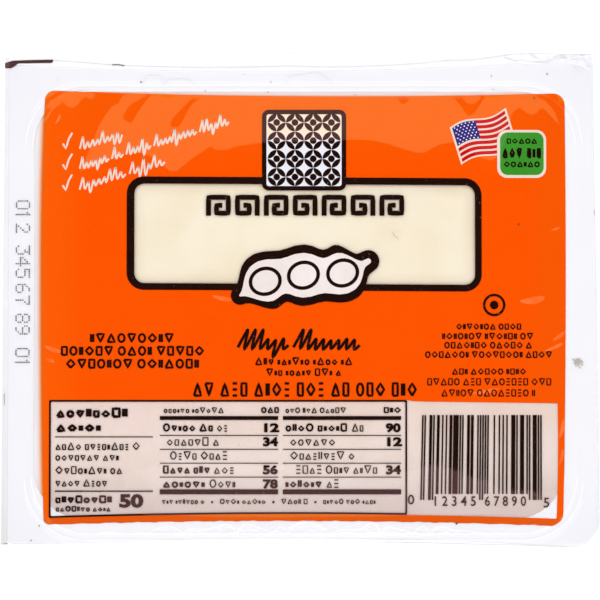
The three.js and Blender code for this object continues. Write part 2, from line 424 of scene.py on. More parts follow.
def triangulate(outlines, spacing, creases=(), grid=None):
    outlines = [cutAtCreases(finely(outline, spacing), creases) for outline in outlines]
    edges, points = [], []
    for outline in outlines:
        first, count = len(points), len(outline)
        points += outline
        edges += [(first + i, first + (i + 1) % count) for i in range(count)]
    if grid is None:
        low, high = np.min(points, 0), np.max(points, 0)
        grid = gridPoints(*(np.arange(low[i] + spacing / 2, high[i], spacing) for i in (0, 1)))
    if len(grid):
        middle, creaseEdges, flanks = creasePoints(outlines, creases)
        grid = grid[insideOutlines(grid, outlines)]
        clear = farFrom(points, grid, 0.4 * spacing)
        if middle:
            clear &= farFrom(middle, grid, 0.34)
            edges += [(a + len(points), b + len(points)) for a, b in creaseEdges]
            points += middle + flanks
        points += [tuple(p) for p in grid[clear]]
    made = delaunay_2d_cdt([Vector(p) for p in points], edges, [], 0, 1e-6)
    flat = np.array([tuple(v) for v in made[0]])
    faces = np.array([face for face in made[2] if len(face) == 3])
    faces = faces[insideOutlines(flat[faces].mean(1), outlines)]
    used, faces = np.unique(faces, return_inverse=True)
    flat, faces = flat[used], faces.reshape(-1, 3)
    a, b, c = flat[faces[:, 0]], flat[faces[:, 1]], flat[faces[:, 2]]
    turned = (b[:, 0] - a[:, 0]) * (c[:, 1] - a[:, 1]) - (b[:, 1] - a[:, 1]) * (c[:, 0] - a[:, 0]) < 0
    faces[turned] = faces[turned][:, ::-1]
    return flat, faces


def closedSheet(flat, faces, high, thickness):
    points = np.vstack([np.column_stack([flat, high]), np.column_stack([flat, high - thickness])])
    count = len(flat)
    seen = {(int(start), int(end)): True for face in faces for start, end in zip(face, np.roll(face, -1))}
    polygons = [list(face) for face in faces] + [list(face[::-1] + count) for face in faces]
    polygons += [[b, a, a + count, b + count] for a, b in seen if (b, a) not in seen]  # the rim
    return points, polygons


def inkSheet(outlines, depth, spacing=1.3):  # a thin closed layer of ink that follows the film
    flat, faces = triangulate(outlines, spacing, creaseLines)
    return closedSheet(flat, faces, filmTop(flat[:, 0], flat[:, 1]) - depth, inkThickness)


def newPiece(name, parts, material, sharpAngle=40):  # parts are (points in mm, polygons)
    polygons, first = [], 0
    for partPoints, partPolygons in parts:
        polygons += [[int(i) + first for i in polygon] for polygon in partPolygons]
        first += len(partPoints)
    mesh = bpy.data.meshes.new(name)
    mesh.from_pydata((np.vstack([points for points, _ in parts]) * mm).tolist(), [], polygons)
    mesh.validate()
    mesh.materials.append(material)
    mesh.shade_smooth()
    mesh.set_sharp_from_angle(angle=math.radians(sharpAngle))
    piece = bpy.data.objects.new(name, mesh)
    bpy.context.scene.collection.objects.link(piece)
    print("made", name, len(mesh.vertices), "points", len(mesh.polygons), "faces")
    return piece


def storeDistances(piece, distances):
    for name, values in distances.items():
        piece.data.attributes.new(name, "FLOAT", "POINT").data.foreach_set("value", values)


def findSocket(sockets, key):
    return sockets[key] if isinstance(key, int) else next(s for s in sockets if key in (s.identifier, s.name))


def feed(tree, node, inputs):  # each input takes a value or another node's output
    for key, value in inputs.items():
        socket = findSocket(node.inputs, key)
        if isinstance(value, bpy.types.NodeSocket):
            tree.links.new(value, socket)
        else:
            socket.default_value = value


def addNode(tree, kind, inputs=None, output=0, **settings):  # gives one of the new node's outputs
    node = tree.nodes.new(kind)
    for name, value in settings.items():
        setattr(node, name, value)
    feed(tree, node, inputs or {})
    return findSocket(node.outputs, output)


def startTree(name, inputs):
    tree = bpy.data.node_groups.new(name, "GeometryNodeTree")
    tree.interface.new_socket("Geometry", in_out="OUTPUT", socket_type="NodeSocketGeometry")
    for label, kind, default in (("Geometry", "Geometry", None), *inputs, ("Ink", "Material", None)):
        socket = tree.interface.new_socket(label, in_out="INPUT", socket_type="NodeSocket" + kind)
        if default is not None:
            socket.default_value = default
    return tree, tree.nodes.new("NodeGroupInput").outputs


def endTree(tree, source, entry):  # realize, then give the ink
    real = addNode(tree, "GeometryNodeRealizeInstances", {"Geometry": source})
    painted = addNode(tree, "GeometryNodeSetMaterial", {"Geometry": real, "Material": entry["Ink"]})
    feed(tree, tree.nodes.new("NodeGroupOutput"), {"Geometry": painted})
    return tree


def buildBlockTree():  # a thin block on each point, sized and turned by the point's attributes
    tree, entry = startTree("printedBlocks", (("Cuts Across", "Int", 2), ("Cuts Along", "Int", 2)))
    size, turn = (
        addNode(tree, "GeometryNodeInputNamedAttribute", {"Name": name}, data_type="FLOAT_VECTOR")
        for name in ("blockSize", "blockTurn")
    )
    block = addNode(tree, "GeometryNodeMeshCube", {
        "Vertices X": entry["Cuts Across"], "Vertices Y": entry["Cuts Along"],
    })
    return endTree(tree, addNode(tree, "GeometryNodeInstanceOnPoints", {
        "Points": entry["Geometry"], "Instance": block, "Rotation": turn, "Scale": size,
    }), entry)


def buildLineTree(name, rounded=False):  # a line along each curve, flat as print or rounded as a ridge
    tree, entry = startTree(name, (("Line Width", "Float", 0.0005), ("Line Thickness", "Float", 0.00001)))
    width, height = entry["Line Width"], entry["Line Thickness"]
    upright = addNode(tree, "GeometryNodeSetCurveNormal", {"Curve": entry["Geometry"]}, mode="Z_UP")
    if rounded:
        circle = addNode(tree, "GeometryNodeCurvePrimitiveCircle", {"Resolution": 10, "Radius": 0.5})
        size = addNode(tree, "ShaderNodeCombineXYZ", {"X": width, "Y": height})
        profile = addNode(tree, "GeometryNodeTransform", {"Geometry": circle, "Scale": size})
    else:
        profile = addNode(tree, "GeometryNodeCurvePrimitiveQuadrilateral", {"Width": width, "Height": height})
    return endTree(tree, addNode(tree, "GeometryNodeCurveToMesh", {
        "Curve": upright, "Profile Curve": profile, "Fill Caps": True,
    }), entry)


def buildDotTree():  # small round dots of uneven size, as a dot printer leaves them
    tree, entry = startTree("printedDots", (
        ("Dot Radius", "Float", 0.0002), ("Dot Thickness", "Float", 0.00001), ("Unevenness", "Float", 0.2),
        ("Seed", "Int", 5),
    ))
    dot = addNode(tree, "GeometryNodeMeshCylinder", {
        "Vertices": 10, "Radius": entry["Dot Radius"], "Depth": entry["Dot Thickness"],
    })
    smallest = addNode(tree, "ShaderNodeMath", {0: 1.0, 1: entry["Unevenness"]}, operation="SUBTRACT")
    size = addNode(tree, "FunctionNodeRandomValue", {
        "Min_001": smallest, "Max_001": 1.0, "Seed": entry["Seed"],
    }, "Value_001", data_type="FLOAT")
    return endTree(tree, addNode(tree, "GeometryNodeInstanceOnPoints", {
        "Points": entry["Geometry"], "Instance": dot, "Scale": size,
    }), entry)


def meshPart(source):  # takes an object's final mesh in mm, and removes the object
    bpy.context.scene.collection.objects.link(source)
    bpy.context.view_layer.update()
    mesh = bpy.data.meshes.new_from_object(source.evaluated_get(bpy.context.evaluated_depsgraph_get()))
    points = np.zeros(len(mesh.vertices) * 3)
    mesh.vertices.foreach_get("co", points)
    polygons = [list(polygon.vertices) for polygon in mesh.polygons]
    source.modifiers.clear()
    bpy.data.objects.remove(source)
    bpy.data.meshes.remove(mesh)
    return points.reshape(-1, 3) / mm, polygons


def layOnFilm(part, depth):
    points, polygons = part
    points[:, 2] += filmTop(points[:, 0], points[:, 1]) - depth
    return points, polygons


def growPart(source, tree, depth, settings):  # runs a tree on an object and lays its mesh on the film
    modifier = source.modifiers.new("grow", "NODES")
    modifier.node_group = tree
    for item in tree.interface.items_tree:
        if item.in_out == "INPUT" and item.name in settings:
            modifier[item.identifier] = settings[item.name]
    return layOnFilm(meshPart(source), depth)


blockTree = buildBlockTree()
lineTree = buildLineTree("printedLines")
ridgeTree = buildLineTree("weldRidges", True)
dotTree = buildDotTree()


def pointObject(name, places):
    mesh = bpy.data.meshes.new(name)
    mesh.from_pydata([(x * mm, y * mm, 0) for x, y in places], [], [])
    return bpy.data.objects.new(name, mesh)


def blockPart(blocks, ink, depth, cutsAcross=2, cutsAlong=2):  # blocks are (x, y, width, height, turn)
    source = pointObject("blockPoints", [block[:2] for block in blocks])
    sizes = [v * mm for block in blocks for v in (block[2], block[3], inkThickness)]
    turns = [v for block in blocks for v in (0, 0, block[4])]
    for name, values in (("blockSize", sizes), ("blockTurn", turns)):
        source.data.attributes.new(name, "FLOAT_VECTOR", "POINT").data.foreach_set("vector", values)
    return growPart(source, blockTree, depth, {
        "Cuts Across": cutsAcross, "Cuts Along": cutsAlong, "Ink": ink,
    })


def linePart(lines, width, ink, depth, closed=False, ridge=0.0):  # ridge is the height of a raised line
    curve = bpy.data.curves.new("linePath", "CURVE")
    curve.dimensions = "3D"
    for line in lines:
        line = finely(list(line), 0.7, closed)
        spline = curve.splines.new("POLY")
        spline.points.add(len(line) - 1)
        for point, (x, y) in zip(spline.points, line):
            point.co = (x * mm, y * mm, 0, 1)
        spline.use_cyclic_u = closed
    return growPart(bpy.data.objects.new("linePath", curve), ridgeTree if ridge else lineTree, depth, {
        "Line Width": width * mm, "Line Thickness": (ridge or inkThickness) * mm, "Ink": ink,
    })


def dotPart(dots, radius, ink, depth):
    return growPart(pointObject("dotPoints", dots), dotTree, depth, {
        "Dot Radius": radius * mm, "Dot Thickness": inkThickness * mm, "Ink": ink,
    })


def newMaterial(name):
    material = bpy.data.materials.new(name)
    material.use_nodes = True
    return material, material.node_tree, material.node_tree.nodes["Principled BSDF"]


def addNoise(tree, place, scale, detail=2.0, roughness=0.5):
    return addNode(tree, "ShaderNodeTexNoise", {
        "Vector": place, "Scale": scale, "Detail": detail, "Roughness": roughness,
    })


def addRamp(tree, value, stops):
    colour = addNode(tree, "ShaderNodeValToRGB", {"Fac": value})
    elements = colour.node.color_ramp.elements
    while len(elements) < len(stops):
        elements.new(0.5)
    for element, (place, tint) in zip(elements, stops):
        element.position = place
        element.color = (*tint, 1.0)
    return colour


def addMix(tree, share, first, second, blend="MIX"):
    return addNode(tree, "ShaderNodeMix", {
        "Factor_Float": share, "A_Color": first, "B_Color": second,
    }, "Result_Color", data_type="RGBA", blend_type=blend)


def addShare(tree, value, start, end, **settings):  # 0 at the start and 1 at the end
    inputs = {"Value": value, "From Min": start, "From Max": end}
    return addNode(tree, "ShaderNodeMapRange", inputs, **settings)


def addStored(tree, name):
    return addNode(tree, "ShaderNodeAttribute", output="Fac", attribute_name=name)


def addBump(tree, height, strength, distance):
    return addNode(tree, "ShaderNodeBump", {"Height": height, "Strength": strength, "Distance": distance})


def addPlace(tree):
    return addNode(tree, "ShaderNodeTexCoord", output="Object")


paintedLabelGlow = {  # painted glow: orange light from the print tints the curd beside its edge; millimetres past the edge, and the colour there
    "pastLeft": (
        (0.0, (0.77, 0.27, 0.09)), (0.2, (0.77, 0.29, 0.11)), (0.5, (0.81, 0.495, 0.36)),
        (0.75, (0.855, 0.605, 0.52)), (1.0, (0.86, 0.69, 0.655)), (1.25, (0.855, 0.745, 0.745)),
        (1.6, (0.87, 0.82, 0.83)), (2.0, (0.852, 0.836, 0.865)),
    ),
    "pastBack": (
        (0.0, (0.85, 0.48, 0.36)), (0.2, (0.853, 0.544, 0.446)), (0.45, (0.846, 0.653, 0.608)),
        (0.7, (0.83, 0.695, 0.668)), (1.0, (0.825, 0.753, 0.76)), (1.4, (0.853, 0.836, 0.86)),
    ),
}


# mixes the painted glow of the print's light into the curd's colour
def addPaintedGlow(tree, colour, reach=2.4):
    for name, stops in paintedLabelGlow.items():
        past = addStored(tree, name)
        stops = [(distance / reach, tint) for distance, tint in stops]
        glow = addRamp(tree, addShare(tree, past, 0.0, reach), stops)
        colour = addMix(tree, addShare(tree, past, -0.6, -0.2), colour, glow)
    return colour


def addEdgeTint(tree, colour, name, start, end, tint):  # a colour near an edge, given in mm past it
    share = addShare(tree, addStored(tree, name), start, end, interpolation_type="SMOOTHSTEP")
    feed(tree, share.node, {"To Min": 1.0, "To Max": 0.0})
    return addMix(tree, share, colour, (*tint, 1))


def makePlastic():
    look = {
        "colour": (0.855, 0.84, 0.872), "shade": (0.838, 0.823, 0.855), "roughness": 0.34,
        # painted shade: the tray gets darker towards its corners
        "corner": ("fromCorner", 0.0, 22.0, (0.815, 0.805, 0.84)),
    }
    material, tree, surface = newMaterial("whiteTray")
    place = addPlace(tree)
    tone = addRamp(tree, addNoise(tree, place, 55, 4), ((0.3, look["shade"]), (0.7, look["colour"])))
    feed(tree, surface, {
        "Base Color": addEdgeTint(tree, tone, *look["corner"]), "Roughness": look["roughness"],
        "Normal": addBump(tree, addNoise(tree, place, 1400), 0.12, 0.0001),
        "Subsurface Weight": 0.12, "Subsurface Radius": (0.002, 0.002, 0.002), "Subsurface Scale": 1.0,
    })
    return material


def makeTofuSkin():
    look = {
        "colour": (0.89, 0.795, 0.635), "shade": (0.85, 0.745, 0.565), "roughness": 0.3,
        "paintedPanelShades": (  # painted shade and tint of the curd under the clear panel, from the front edge (0) back to the middle (1)
            (0.0, (0.69, 0.63, 0.74)), (0.14, (0.745, 0.675, 0.81)), (0.26, (0.81, 0.76, 0.89)),
            (0.36, (0.87, 0.81, 0.94)), (0.5, (0.905, 0.85, 0.98)), (0.86, (0.90, 0.80, 0.91)),
            (0.92, (1, 1, 1)),
        ),
        "front": -50.4,
        "depth": 32,
        "paintedRimShadow": (  # painted shadow of the window's border on the curd, by distance from the middle of the border, 4 mm at 1
            (0.2, (0.82, 0.74, 0.70)), (0.27, (0.88, 0.83, 0.81)), (0.45, (0.94, 0.91, 0.90)),
            (0.7, (0.975, 0.965, 0.955)), (1.0, (1.0, 1.0, 1.0)),
        ),
        "rimReach": 4.0,
    }
    material, tree, surface = newMaterial("tofuCurd")
    place = addPlace(tree)
    tone = addRamp(tree, addNoise(tree, place, 90, 5, 0.6), ((0.32, look["shade"]), (0.6, look["colour"])))
    along = addNode(tree, "ShaderNodeSeparateXYZ", {0: place}, "Y")
    along = addShare(tree, along, look["front"] * mm, (look["front"] + look["depth"]) * mm)
    tone = addMix(tree, 1.0, tone, addRamp(tree, along, look["paintedPanelShades"]), "MULTIPLY")
    rim = addShare(tree, addStored(tree, "windowEdge"), 0.0, look["rimReach"])
    tone = addMix(tree, 1.0, tone, addRamp(tree, rim, look["paintedRimShadow"]), "MULTIPLY")
    feed(tree, surface, {
        "Base Color": addPaintedGlow(tree, tone), "Roughness": look["roughness"],
        "Normal": addBump(tree, addNoise(tree, place, 420, 4, 0.6), 0.35, 0.0003),
        "Subsurface Weight": 0.2, "Subsurface Radius": (0.002, 0.0014, 0.001), "Subsurface Scale": 1.0,
    })
    return material


def makeClearFilm():
    look = {"mirror": 0.03, "grazing": 0.95, "roughness": 0.015, "ripple": 0.02}
    material, tree, surface = newMaterial("clearFilm")
    tree.nodes.remove(surface)
    facing = addNode(tree, "ShaderNodeLayerWeight", output="Facing")
    steep = addNode(tree, "ShaderNodeMath", {0: facing, 1: 5.0}, operation="POWER")
    share = addNode(tree, "ShaderNodeMath", {
        0: steep, 1: look["grazing"] - look["mirror"], 2: look["mirror"],
    }, operation="MULTIPLY_ADD")
    gloss = addNode(tree, "ShaderNodeBsdfGlossy", {
        "Roughness": look["roughness"],
        "Normal": addBump(tree, addNoise(tree, addPlace(tree), 260, 3), look["ripple"], 0.0001),
    })
    clear = addNode(tree, "ShaderNodeBsdfTransparent")
    mixed = addNode(tree, "ShaderNodeMixShader", {0: share, 1: clear, 2: gloss})
    feed(tree, tree.nodes["Material Output"], {"Surface": mixed})
    return material


def makeInk(name, colour, shade, mottle=140, pinholes=None, sheen=None, edges=()):
    material, tree, surface = newMaterial(name)
    place = addPlace(tree)
    tone = addRamp(tree, addNoise(tree, place, mottle, 4, 0.6), ((0.35, shade), (0.65, colour)))
    if pinholes:
        spot = addRamp(tree, addNoise(tree, place, 2300, 1), ((0.74, (0, 0, 0)), (0.78, (1, 1, 1))))
        tone = addMix(tree, spot, tone, (*pinholes, 1))
    for edge in edges:
        tone = addEdgeTint(tree, tone, *edge)
    feed(tree, surface, {
        "Base Color": tone, "Roughness": 0.03 if sheen else 0.6,
        "Specular IOR Level": 0.9 if sheen else 0.0, "Specular Tint": (*(sheen or (1, 1, 1)), 1),
    })
    return material


plasticLook = makePlastic()
tofuLook = makeTofuSkin()
filmLook = makeClearFilm()
orangeLook = makeInk(
    "orangeInk", (0.925, 0.086, 0.0004), (0.905, 0.083, 0.0003), sheen=(0.1, 1.0, 0.06),
    edges=(  # attribute, where the tint starts to fade and where it ends in mm, and its colour. The ink gets a little darker towards its back and sides; the narrow band at the left edge and the front strip are painted shade
        ("pastBack", 4.0, 20.0, (0.89, 0.094, 0.001)), ("pastRight", 2.0, 13.0, (0.87, 0.09, 0.001)),
        ("pastLeft", 2.0, 12.0, (0.91, 0.10, 0.0015)), ("pastLeft", 0.4, 1.4, (0.83, 0.115, 0.004)),
        ("pastFront", 1.2, 1.8, (0.725, 0.095, 0.006)),
    ),
)
darkLook = makeInk(
    "darkInk", (0.015, 0.0045, 0.003), (0.011, 0.0035, 0.002), 300, (0.25, 0.12, 0.08), (1.0, 0.3, 0.3)
)
whiteLook = makeInk("whiteInk", (0.81, 0.725, 0.70), (0.74, 0.655, 0.62), edges=(
    ("pastTile", 25, 26, (0.74, 0.735, 0.79)), ("pastTile", 5.0, 8.5, (0.87, 0.70, 0.53)),
))
creamLook = makeInk("creamInk", (0.80, 0.63, 0.54), (0.76, 0.59, 0.50))
greenLook = makeInk("greenInk", (0.046, 0.275, 0.026), (0.038, 0.25, 0.02))
redLook = makeInk("redInk", (0.56, 0.003, 0.004), (0.51, 0.002, 0.003))
blueLook = makeInk("blueInk", (0.022, 0.012, 0.19), (0.018, 0.01, 0.165))
starLook = makeInk("starInk", (0.95, 0.88, 0.82), (0.9, 0.83, 0.78))
crumbLook = makeInk("crumbs", (0.56, 0.51, 0.45), (0.40, 0.35, 0.28), 1500)
# pale orange of the painted highlight streaks on the creased film
streakHighlightLook = makeInk("streakHighlights", (0.93, 0.185, 0.042), (0.925, 0.12, 0.014), 260)
codeLook = makeInk("codeInk", (0.032, 0.028, 0.036), (0.02, 0.017, 0.023))
# whiter than the tray: partly the weld's own whitening, partly painted highlight along the weld lines and the
# film's creases
whiteHighlightLook = makeInk("weldRidge", (0.95, 0.945, 0.965), (0.92, 0.915, 0.94))
hazeLook = makeInk("hazyFilm", (0.81, 0.805, 0.83), (0.77, 0.765, 0.79), 400, edges=(
    ("fromFront", 12.0, 60.0, (0.745, 0.745, 0.76)), ("fromFront", 0.0, 16.0, (0.70, 0.69, 0.68)),
))
paleHazeLook = makeInk("paleFilm", (0.905, 0.90, 0.915), (0.88, 0.875, 0.89), 300)
crumpledLook = makeInk("crumpledFilm", (0.89, 0.88, 0.92), (0.80, 0.79, 0.83), 420)
# grey of the painted shade along the film's folds and lifted edges
creaseShadeLook = makeInk("creaseShadeInk", (0.72, 0.72, 0.74), (0.6, 0.6, 0.62), 500)
dustLook = makeInk("dust", (0.10, 0.07, 0.055), (0.05, 0.035, 0.03), 900)
print("materials ready")


ringCounts = {"corner": 12, "long": 44, "short": 36, "flangeTop": 26}


def ring(halfX, halfY, corner, z, bowed=False):  # bowed rings follow the flange's edges
    arcs, points = [], []
    for index, (sideX, sideY) in enumerate(((1, 1), (-1, 1), (-1, -1), (1, -1))):
        radius = max(corner * (trayShape["flangeCorners"][index] if bowed else 1), 0.6)
        middleX, middleY = sideX * (halfX - radius), sideY * (halfY - radius)
        arcs.append(arc(middleX, middleY, radius, radius, 90 * index, 90 * index + 90, ringCounts["corner"]))
    for index, corners in enumerate(arcs):
        count = ringCounts["short" if index % 2 else "long"]
        following = arcs[(index + 1) % 4][0]
        points += corners + [between(corners[-1], following, step / count) for step in range(1, count)]
    x, y = np.array(points).T
    if bowed:
        fullX, fullY, _ = trayShape["flange"]
        across = np.where(x > 0, flangeRight(y) - fullX, trayShape["flangeLeft"] + fullX)
        along = np.where(y > 0, flangeBack(x) - fullY, flangeFront(x) + fullY)
        x, y = x + across * np.abs(x) / halfX, y + along * np.minimum(1, np.abs(y) / halfY) ** 6
    else:
        x, y = x + trayShape["mouthShift"], y - mouthBow(x, y)
    return np.column_stack([x, y, np.full(len(x), z)])


def offsetRing(half, by, z, bowed=False):
    return ring(half[0] + by, half[1] + by, half[2] + by, z, bowed)


def innerWall(z):
    fall, ledge = trayTop - z, trayShape["ledge"]
    step = ledge["out"] * float(smooth(fall, ledge["depth"], ledge["depth"] + ledge["rise"]))
    return tuple(size - fall * math.tan(trayShape["draft"]) - step for size in trayShape["mouth"])


def baseRings(out, rise):
    groove = trayShape["groove"]
    halfX, halfY, _ = innerWall(rise)
    half, flank = (halfX - groove["inset"], halfY - groove["inset"], groove["corner"]), groove["width"] / 4
    foot = out / 2 - groove["width"]
    rings = []
    for start, end, low, high in ((foot, foot + flank, 0, 1), (-out / 2 - flank, -out / 2, 1, 0)):
        for share in np.linspace(0, 1, 6):
            lift = low + (high - low) * float(smooth(share, 0, 1))
            rings.append(offsetRing(half, start + (end - start) * share, rise + groove["depth"] * lift))
    return rings


def wallRings(out, rise, top):
    radius, draft, ledge = trayShape["baseFillet"] + out, trayShape["draft"], trayShape["ledge"]
    rings = []
    for angle in np.linspace(0, math.pi / 2 - draft, 11):
        z = rise + radius * (1 - math.cos(angle))
        rings.append(offsetRing(innerWall(z), out - radius * (math.cos(draft) - math.sin(angle)), z))
    foot = trayTop - ledge["depth"] - ledge["rise"]
    shelf = foot + ledge["rise"]
    heights = [*np.linspace(rise + radius + 2, foot, 6), *np.linspace(foot, shelf, 6)[1:]]
    heights += [*np.linspace(shelf, top, 4)[1:]]
    return rings + [offsetRing(innerWall(z), out, z) for z in heights]


def skin(rings):  # quads between rings, a fan at each end
    count = len(rings[0])
    points = np.vstack(rings + [rings[0].mean(0)[None], rings[-1].mean(0)[None]])
    first, last, top = len(points) - 2, len(points) - 1, (len(rings) - 1) * count
    polygons = []
    for side in range(count):
        after = (side + 1) % count
        for low in range(0, top, count):
            polygons.append([low + side, low + after, low + count + after, low + count + side])
        polygons.append([first, after, side])
        polygons.append([last, top + side, top + after])
    return points, polygons


def quarterTurn(steps, first=0):  # pairs of what is left of the way across, and of the way up
    angles = [step / steps * math.pi / 2 for step in range(first, steps + 1)]
    return [(math.sin(angle), math.cos(angle)) for angle in angles]


def makeTray():
    flange, mouth = trayShape["flange"], trayShape["mouth"]
    wall, lip, inside = trayShape["wall"], trayShape["lipRadius"], trayShape["lipInside"]
    under, edge, rounding = trayTop - wall, trayShape["lipEdge"], trayShape["mouthRound"]
    foot = trayTop - trayShape["lipDrop"]
    rings = baseRings(wall, 0) + wallRings(wall, 0, under - 0.4)
    rings += [offsetRing(mouth, wall + 0.15, under - 0.12), offsetRing(mouth, wall + 0.6, under)]
    for sin, cos in quarterTurn(5):  # the flange's underside and the inside of its lip
        rings.append(offsetRing(flange, -wall - inside * (1 - sin), under - inside * (1 - cos), True))
    rings.append(offsetRing(flange, -wall, foot + edge / 2, True))
    for angle in np.linspace(math.pi, 2 * math.pi, 5):
        across, up = wall / 2 * (math.cos(angle) - 1), foot + edge * (1 + math.sin(angle))
        rings.append(offsetRing(flange, across, up, True))
    for sin, cos in quarterTurn(8):
        rings.append(offsetRing(flange, lip * (cos - 1), trayTop - lip * (1 - sin), True))
    outer, inner = rings[-1], offsetRing(mouth, rounding, trayTop)
    for step in range(1, ringCounts["flangeTop"] + 1):  # the flat top with its seal beads
        level = outer + (inner - outer) * (step / ringCounts["flangeTop"])
        level[:, 2] = trayTop + sealBeads(level[:, 0], level[:, 1])
        rings.append(level)
    for sin, cos in quarterTurn(4, 1):
        rings.append(offsetRing(mouth, rounding * (1 - sin), trayTop - rounding * (1 - cos)))
    rings += wallRings(0, wall, trayTop - 1.2)[::-1] + baseRings(0, wall)[::-1]
    skinned = skin(rings)
    piece = newPiece("whiteTray", [skinned], plasticLook, 50)
    x, y, _ = skinned[0].T
    # distance from the corners, for the painted shade there
    cornerX, cornerY = trayShape["shadedCorner"]
    storeDistances(piece, {"fromCorner": np.hypot(cornerX - np.abs(x), cornerY - np.abs(y))})
    return piece


tofuShape = {"headSpace": 0.03, "edge": 0.05, "filmGap": 0.07, "windowGap": 0.2, "uneven": 0.03}


def windowDistance(x, y):  # below 0 inside the middle line of the window's border
    (left, front), (right, back), corner = labelShape["window"]
    by, (slope, start) = labelShape["borderMiddle"], labelShape["windowSlope"]
    low, high = (left + by, front + by), (right - by, back - by)
    return roundDistance(x, y - slope * (x - start), low, high, corner - by)


def curdTop(x, y):  # the curd lies close under the film, a little less so behind the window
    bumps = np.array([noise.fractal((a * 0.11, b * 0.11, 3.0), 0.7, 2.0, 4) for a, b in zip(x, y)])
    under = filmTop(x, y) - filmShape["thickness"]
    gap = tofuShape["filmGap"] + tofuShape["windowGap"] * smooth(-windowDistance(x, y), -6, 0)
    curd = under - gap + tofuShape["uneven"] * np.minimum(bumps, 1.0)
    rim = trayTop - tofuShape["headSpace"]
    height = rim + (curd - rim) * smooth(-mouthDistance(x, y), 0.3, 4)
    return np.minimum(height, under - tofuShape["filmGap"])


def makeTofu():
    edge = tofuShape["edge"]
    floor, top = trayShape["wall"], trayTop - tofuShape["headSpace"]
    rings = baseRings(0, floor) + wallRings(0, floor, top - edge)
    half = innerWall(top - edge)
    rings += [offsetRing(half, edge * (cos - 1), top - edge * (1 - sin)) for sin, cos in quarterTurn(8, 1)]
    points, polygons = skin(rings)
    points = points[:-1]
    polygons = [p for p in polygons if p[0] != len(points)]  # the top fan gives way to a fine patch
    flat, faces = triangulate([[tuple(p) for p in rings[-1][:, :2]]], 1.2)
    patch = np.column_stack([flat, curdTop(flat[:, 0], flat[:, 1])])
    piece = newPiece("tofuBlock", [(points, polygons), (patch, [list(f) for f in faces])], tofuLook, 60)
    x, y, _ = np.vstack([points, patch]).T
    storeDistances(piece, {
        "pastLeft": labelEdges["left"](y) - x, "pastBack": y - labelEdges["back"](x),
        "windowEdge": np.abs(windowDistance(x, y)),
    })
    return piece


def spreadLines(low, high, edge, fine=0.35, coarse=0.85):
    left, right = np.arange(low, low + edge, fine), np.arange(high, high - edge, -fine)[::-1]
    count = max(2, round((right[0] - left[-1]) / coarse))
    return np.concatenate([left, np.linspace(left[-1], right[0], count + 1)[1:-1], right])


def filmSide(y, side):
    return np.interp(y, [-trayShape["flange"][1], filmShape["back"]], filmShape[side])


def filmRight(y):  # cut round the front corner of the flange
    corner = trayShape["flange"][2] * trayShape["flangeCorners"][3]
    past = np.clip(-y - (trayShape["flange"][1] - corner), 0, corner)
    return filmSide(y, "right") - corner + np.sqrt(corner**2 - past**2)


def filmFront(x):  # the film is cut a little wide of the flange at the right half of its front edge
    return flangeFront(x) - alongTable(x, filmShape["overhang"])


def makeFilm():
    backY = filmShape["back"]
    frontX = np.linspace(filmShape["left"][0] + 0.05, 63.0, 90)
    rightY = np.linspace(float(flangeFront(64)) + 0.2, backY, 70)
    front, right = asPoints(frontX, filmFront(frontX)), asPoints(filmRight(rightY), rightY)
    backX = np.linspace(right[-1][0], filmSide(backY, "left"), 80)[1:]
    leftY = np.linspace(backY, front[0][1] + 0.3, 70)[1:]
    outline = front + right + asPoints(backX, backY) + asPoints(filmSide(leftY, "left"), leftY)
    grid = gridPoints(spreadLines(-69.8, 69.6, 9), spreadLines(-56.6, 58.7, 10))
    flat, faces = triangulate([outline], 0.8, creaseLines, grid)
    sheet = closedSheet(flat, faces, filmTop(flat[:, 0], flat[:, 1]), filmShape["thickness"])
    return newPiece("lidFilm", [sheet], filmLook, 50)


def grownRect(rect, by):
    low, high, corner = rect
    return roundedOutline((low[0] - by, low[1] - by), (high[0] + by, high[1] + by), corner + by)


def panelEdges(right, by=0.0):  # sides of the clear panel, or of the frame inside it
    return {
        "left": bend(-58.8 + by), "right": right, "front": bend(-49.05 + by, -2.0, -2.9e-4),
        "back": lambda x: -22.5 - by - 0.33 * smooth(x, 25, 26.5) - 0.013 * np.maximum(x - 26, 0),
    }


def makeOrange():
    wavy = {**labelEdges, "front": lambda x: (
        labelEdges["front"](x) + 0.07 * np.sin(0.95 * x) + 0.06 * np.sin(2.3 * x + 1)
    )}
    block = bentOutline(labelShape["block"], wavy)
    panels = bentOutline(labelShape["panels"], panelEdges(bend(60.05, -30.0, -1.0e-3)))
    sheet = inkSheet([block, windowOutline(-0.75), panels], inkDepth["orange"])
    piece = newPiece("orangePrint", [sheet], orangeLook)
    x, y, _ = sheet[0].T
    storeDistances(piece, {
        "pastLeft": x - labelEdges["left"](y), "pastRight": labelEdges["right"](y) - x,
        "pastFront": y - labelEdges["front"](x), "pastBack": labelEdges["back"](x) - y,
    })
    return piece


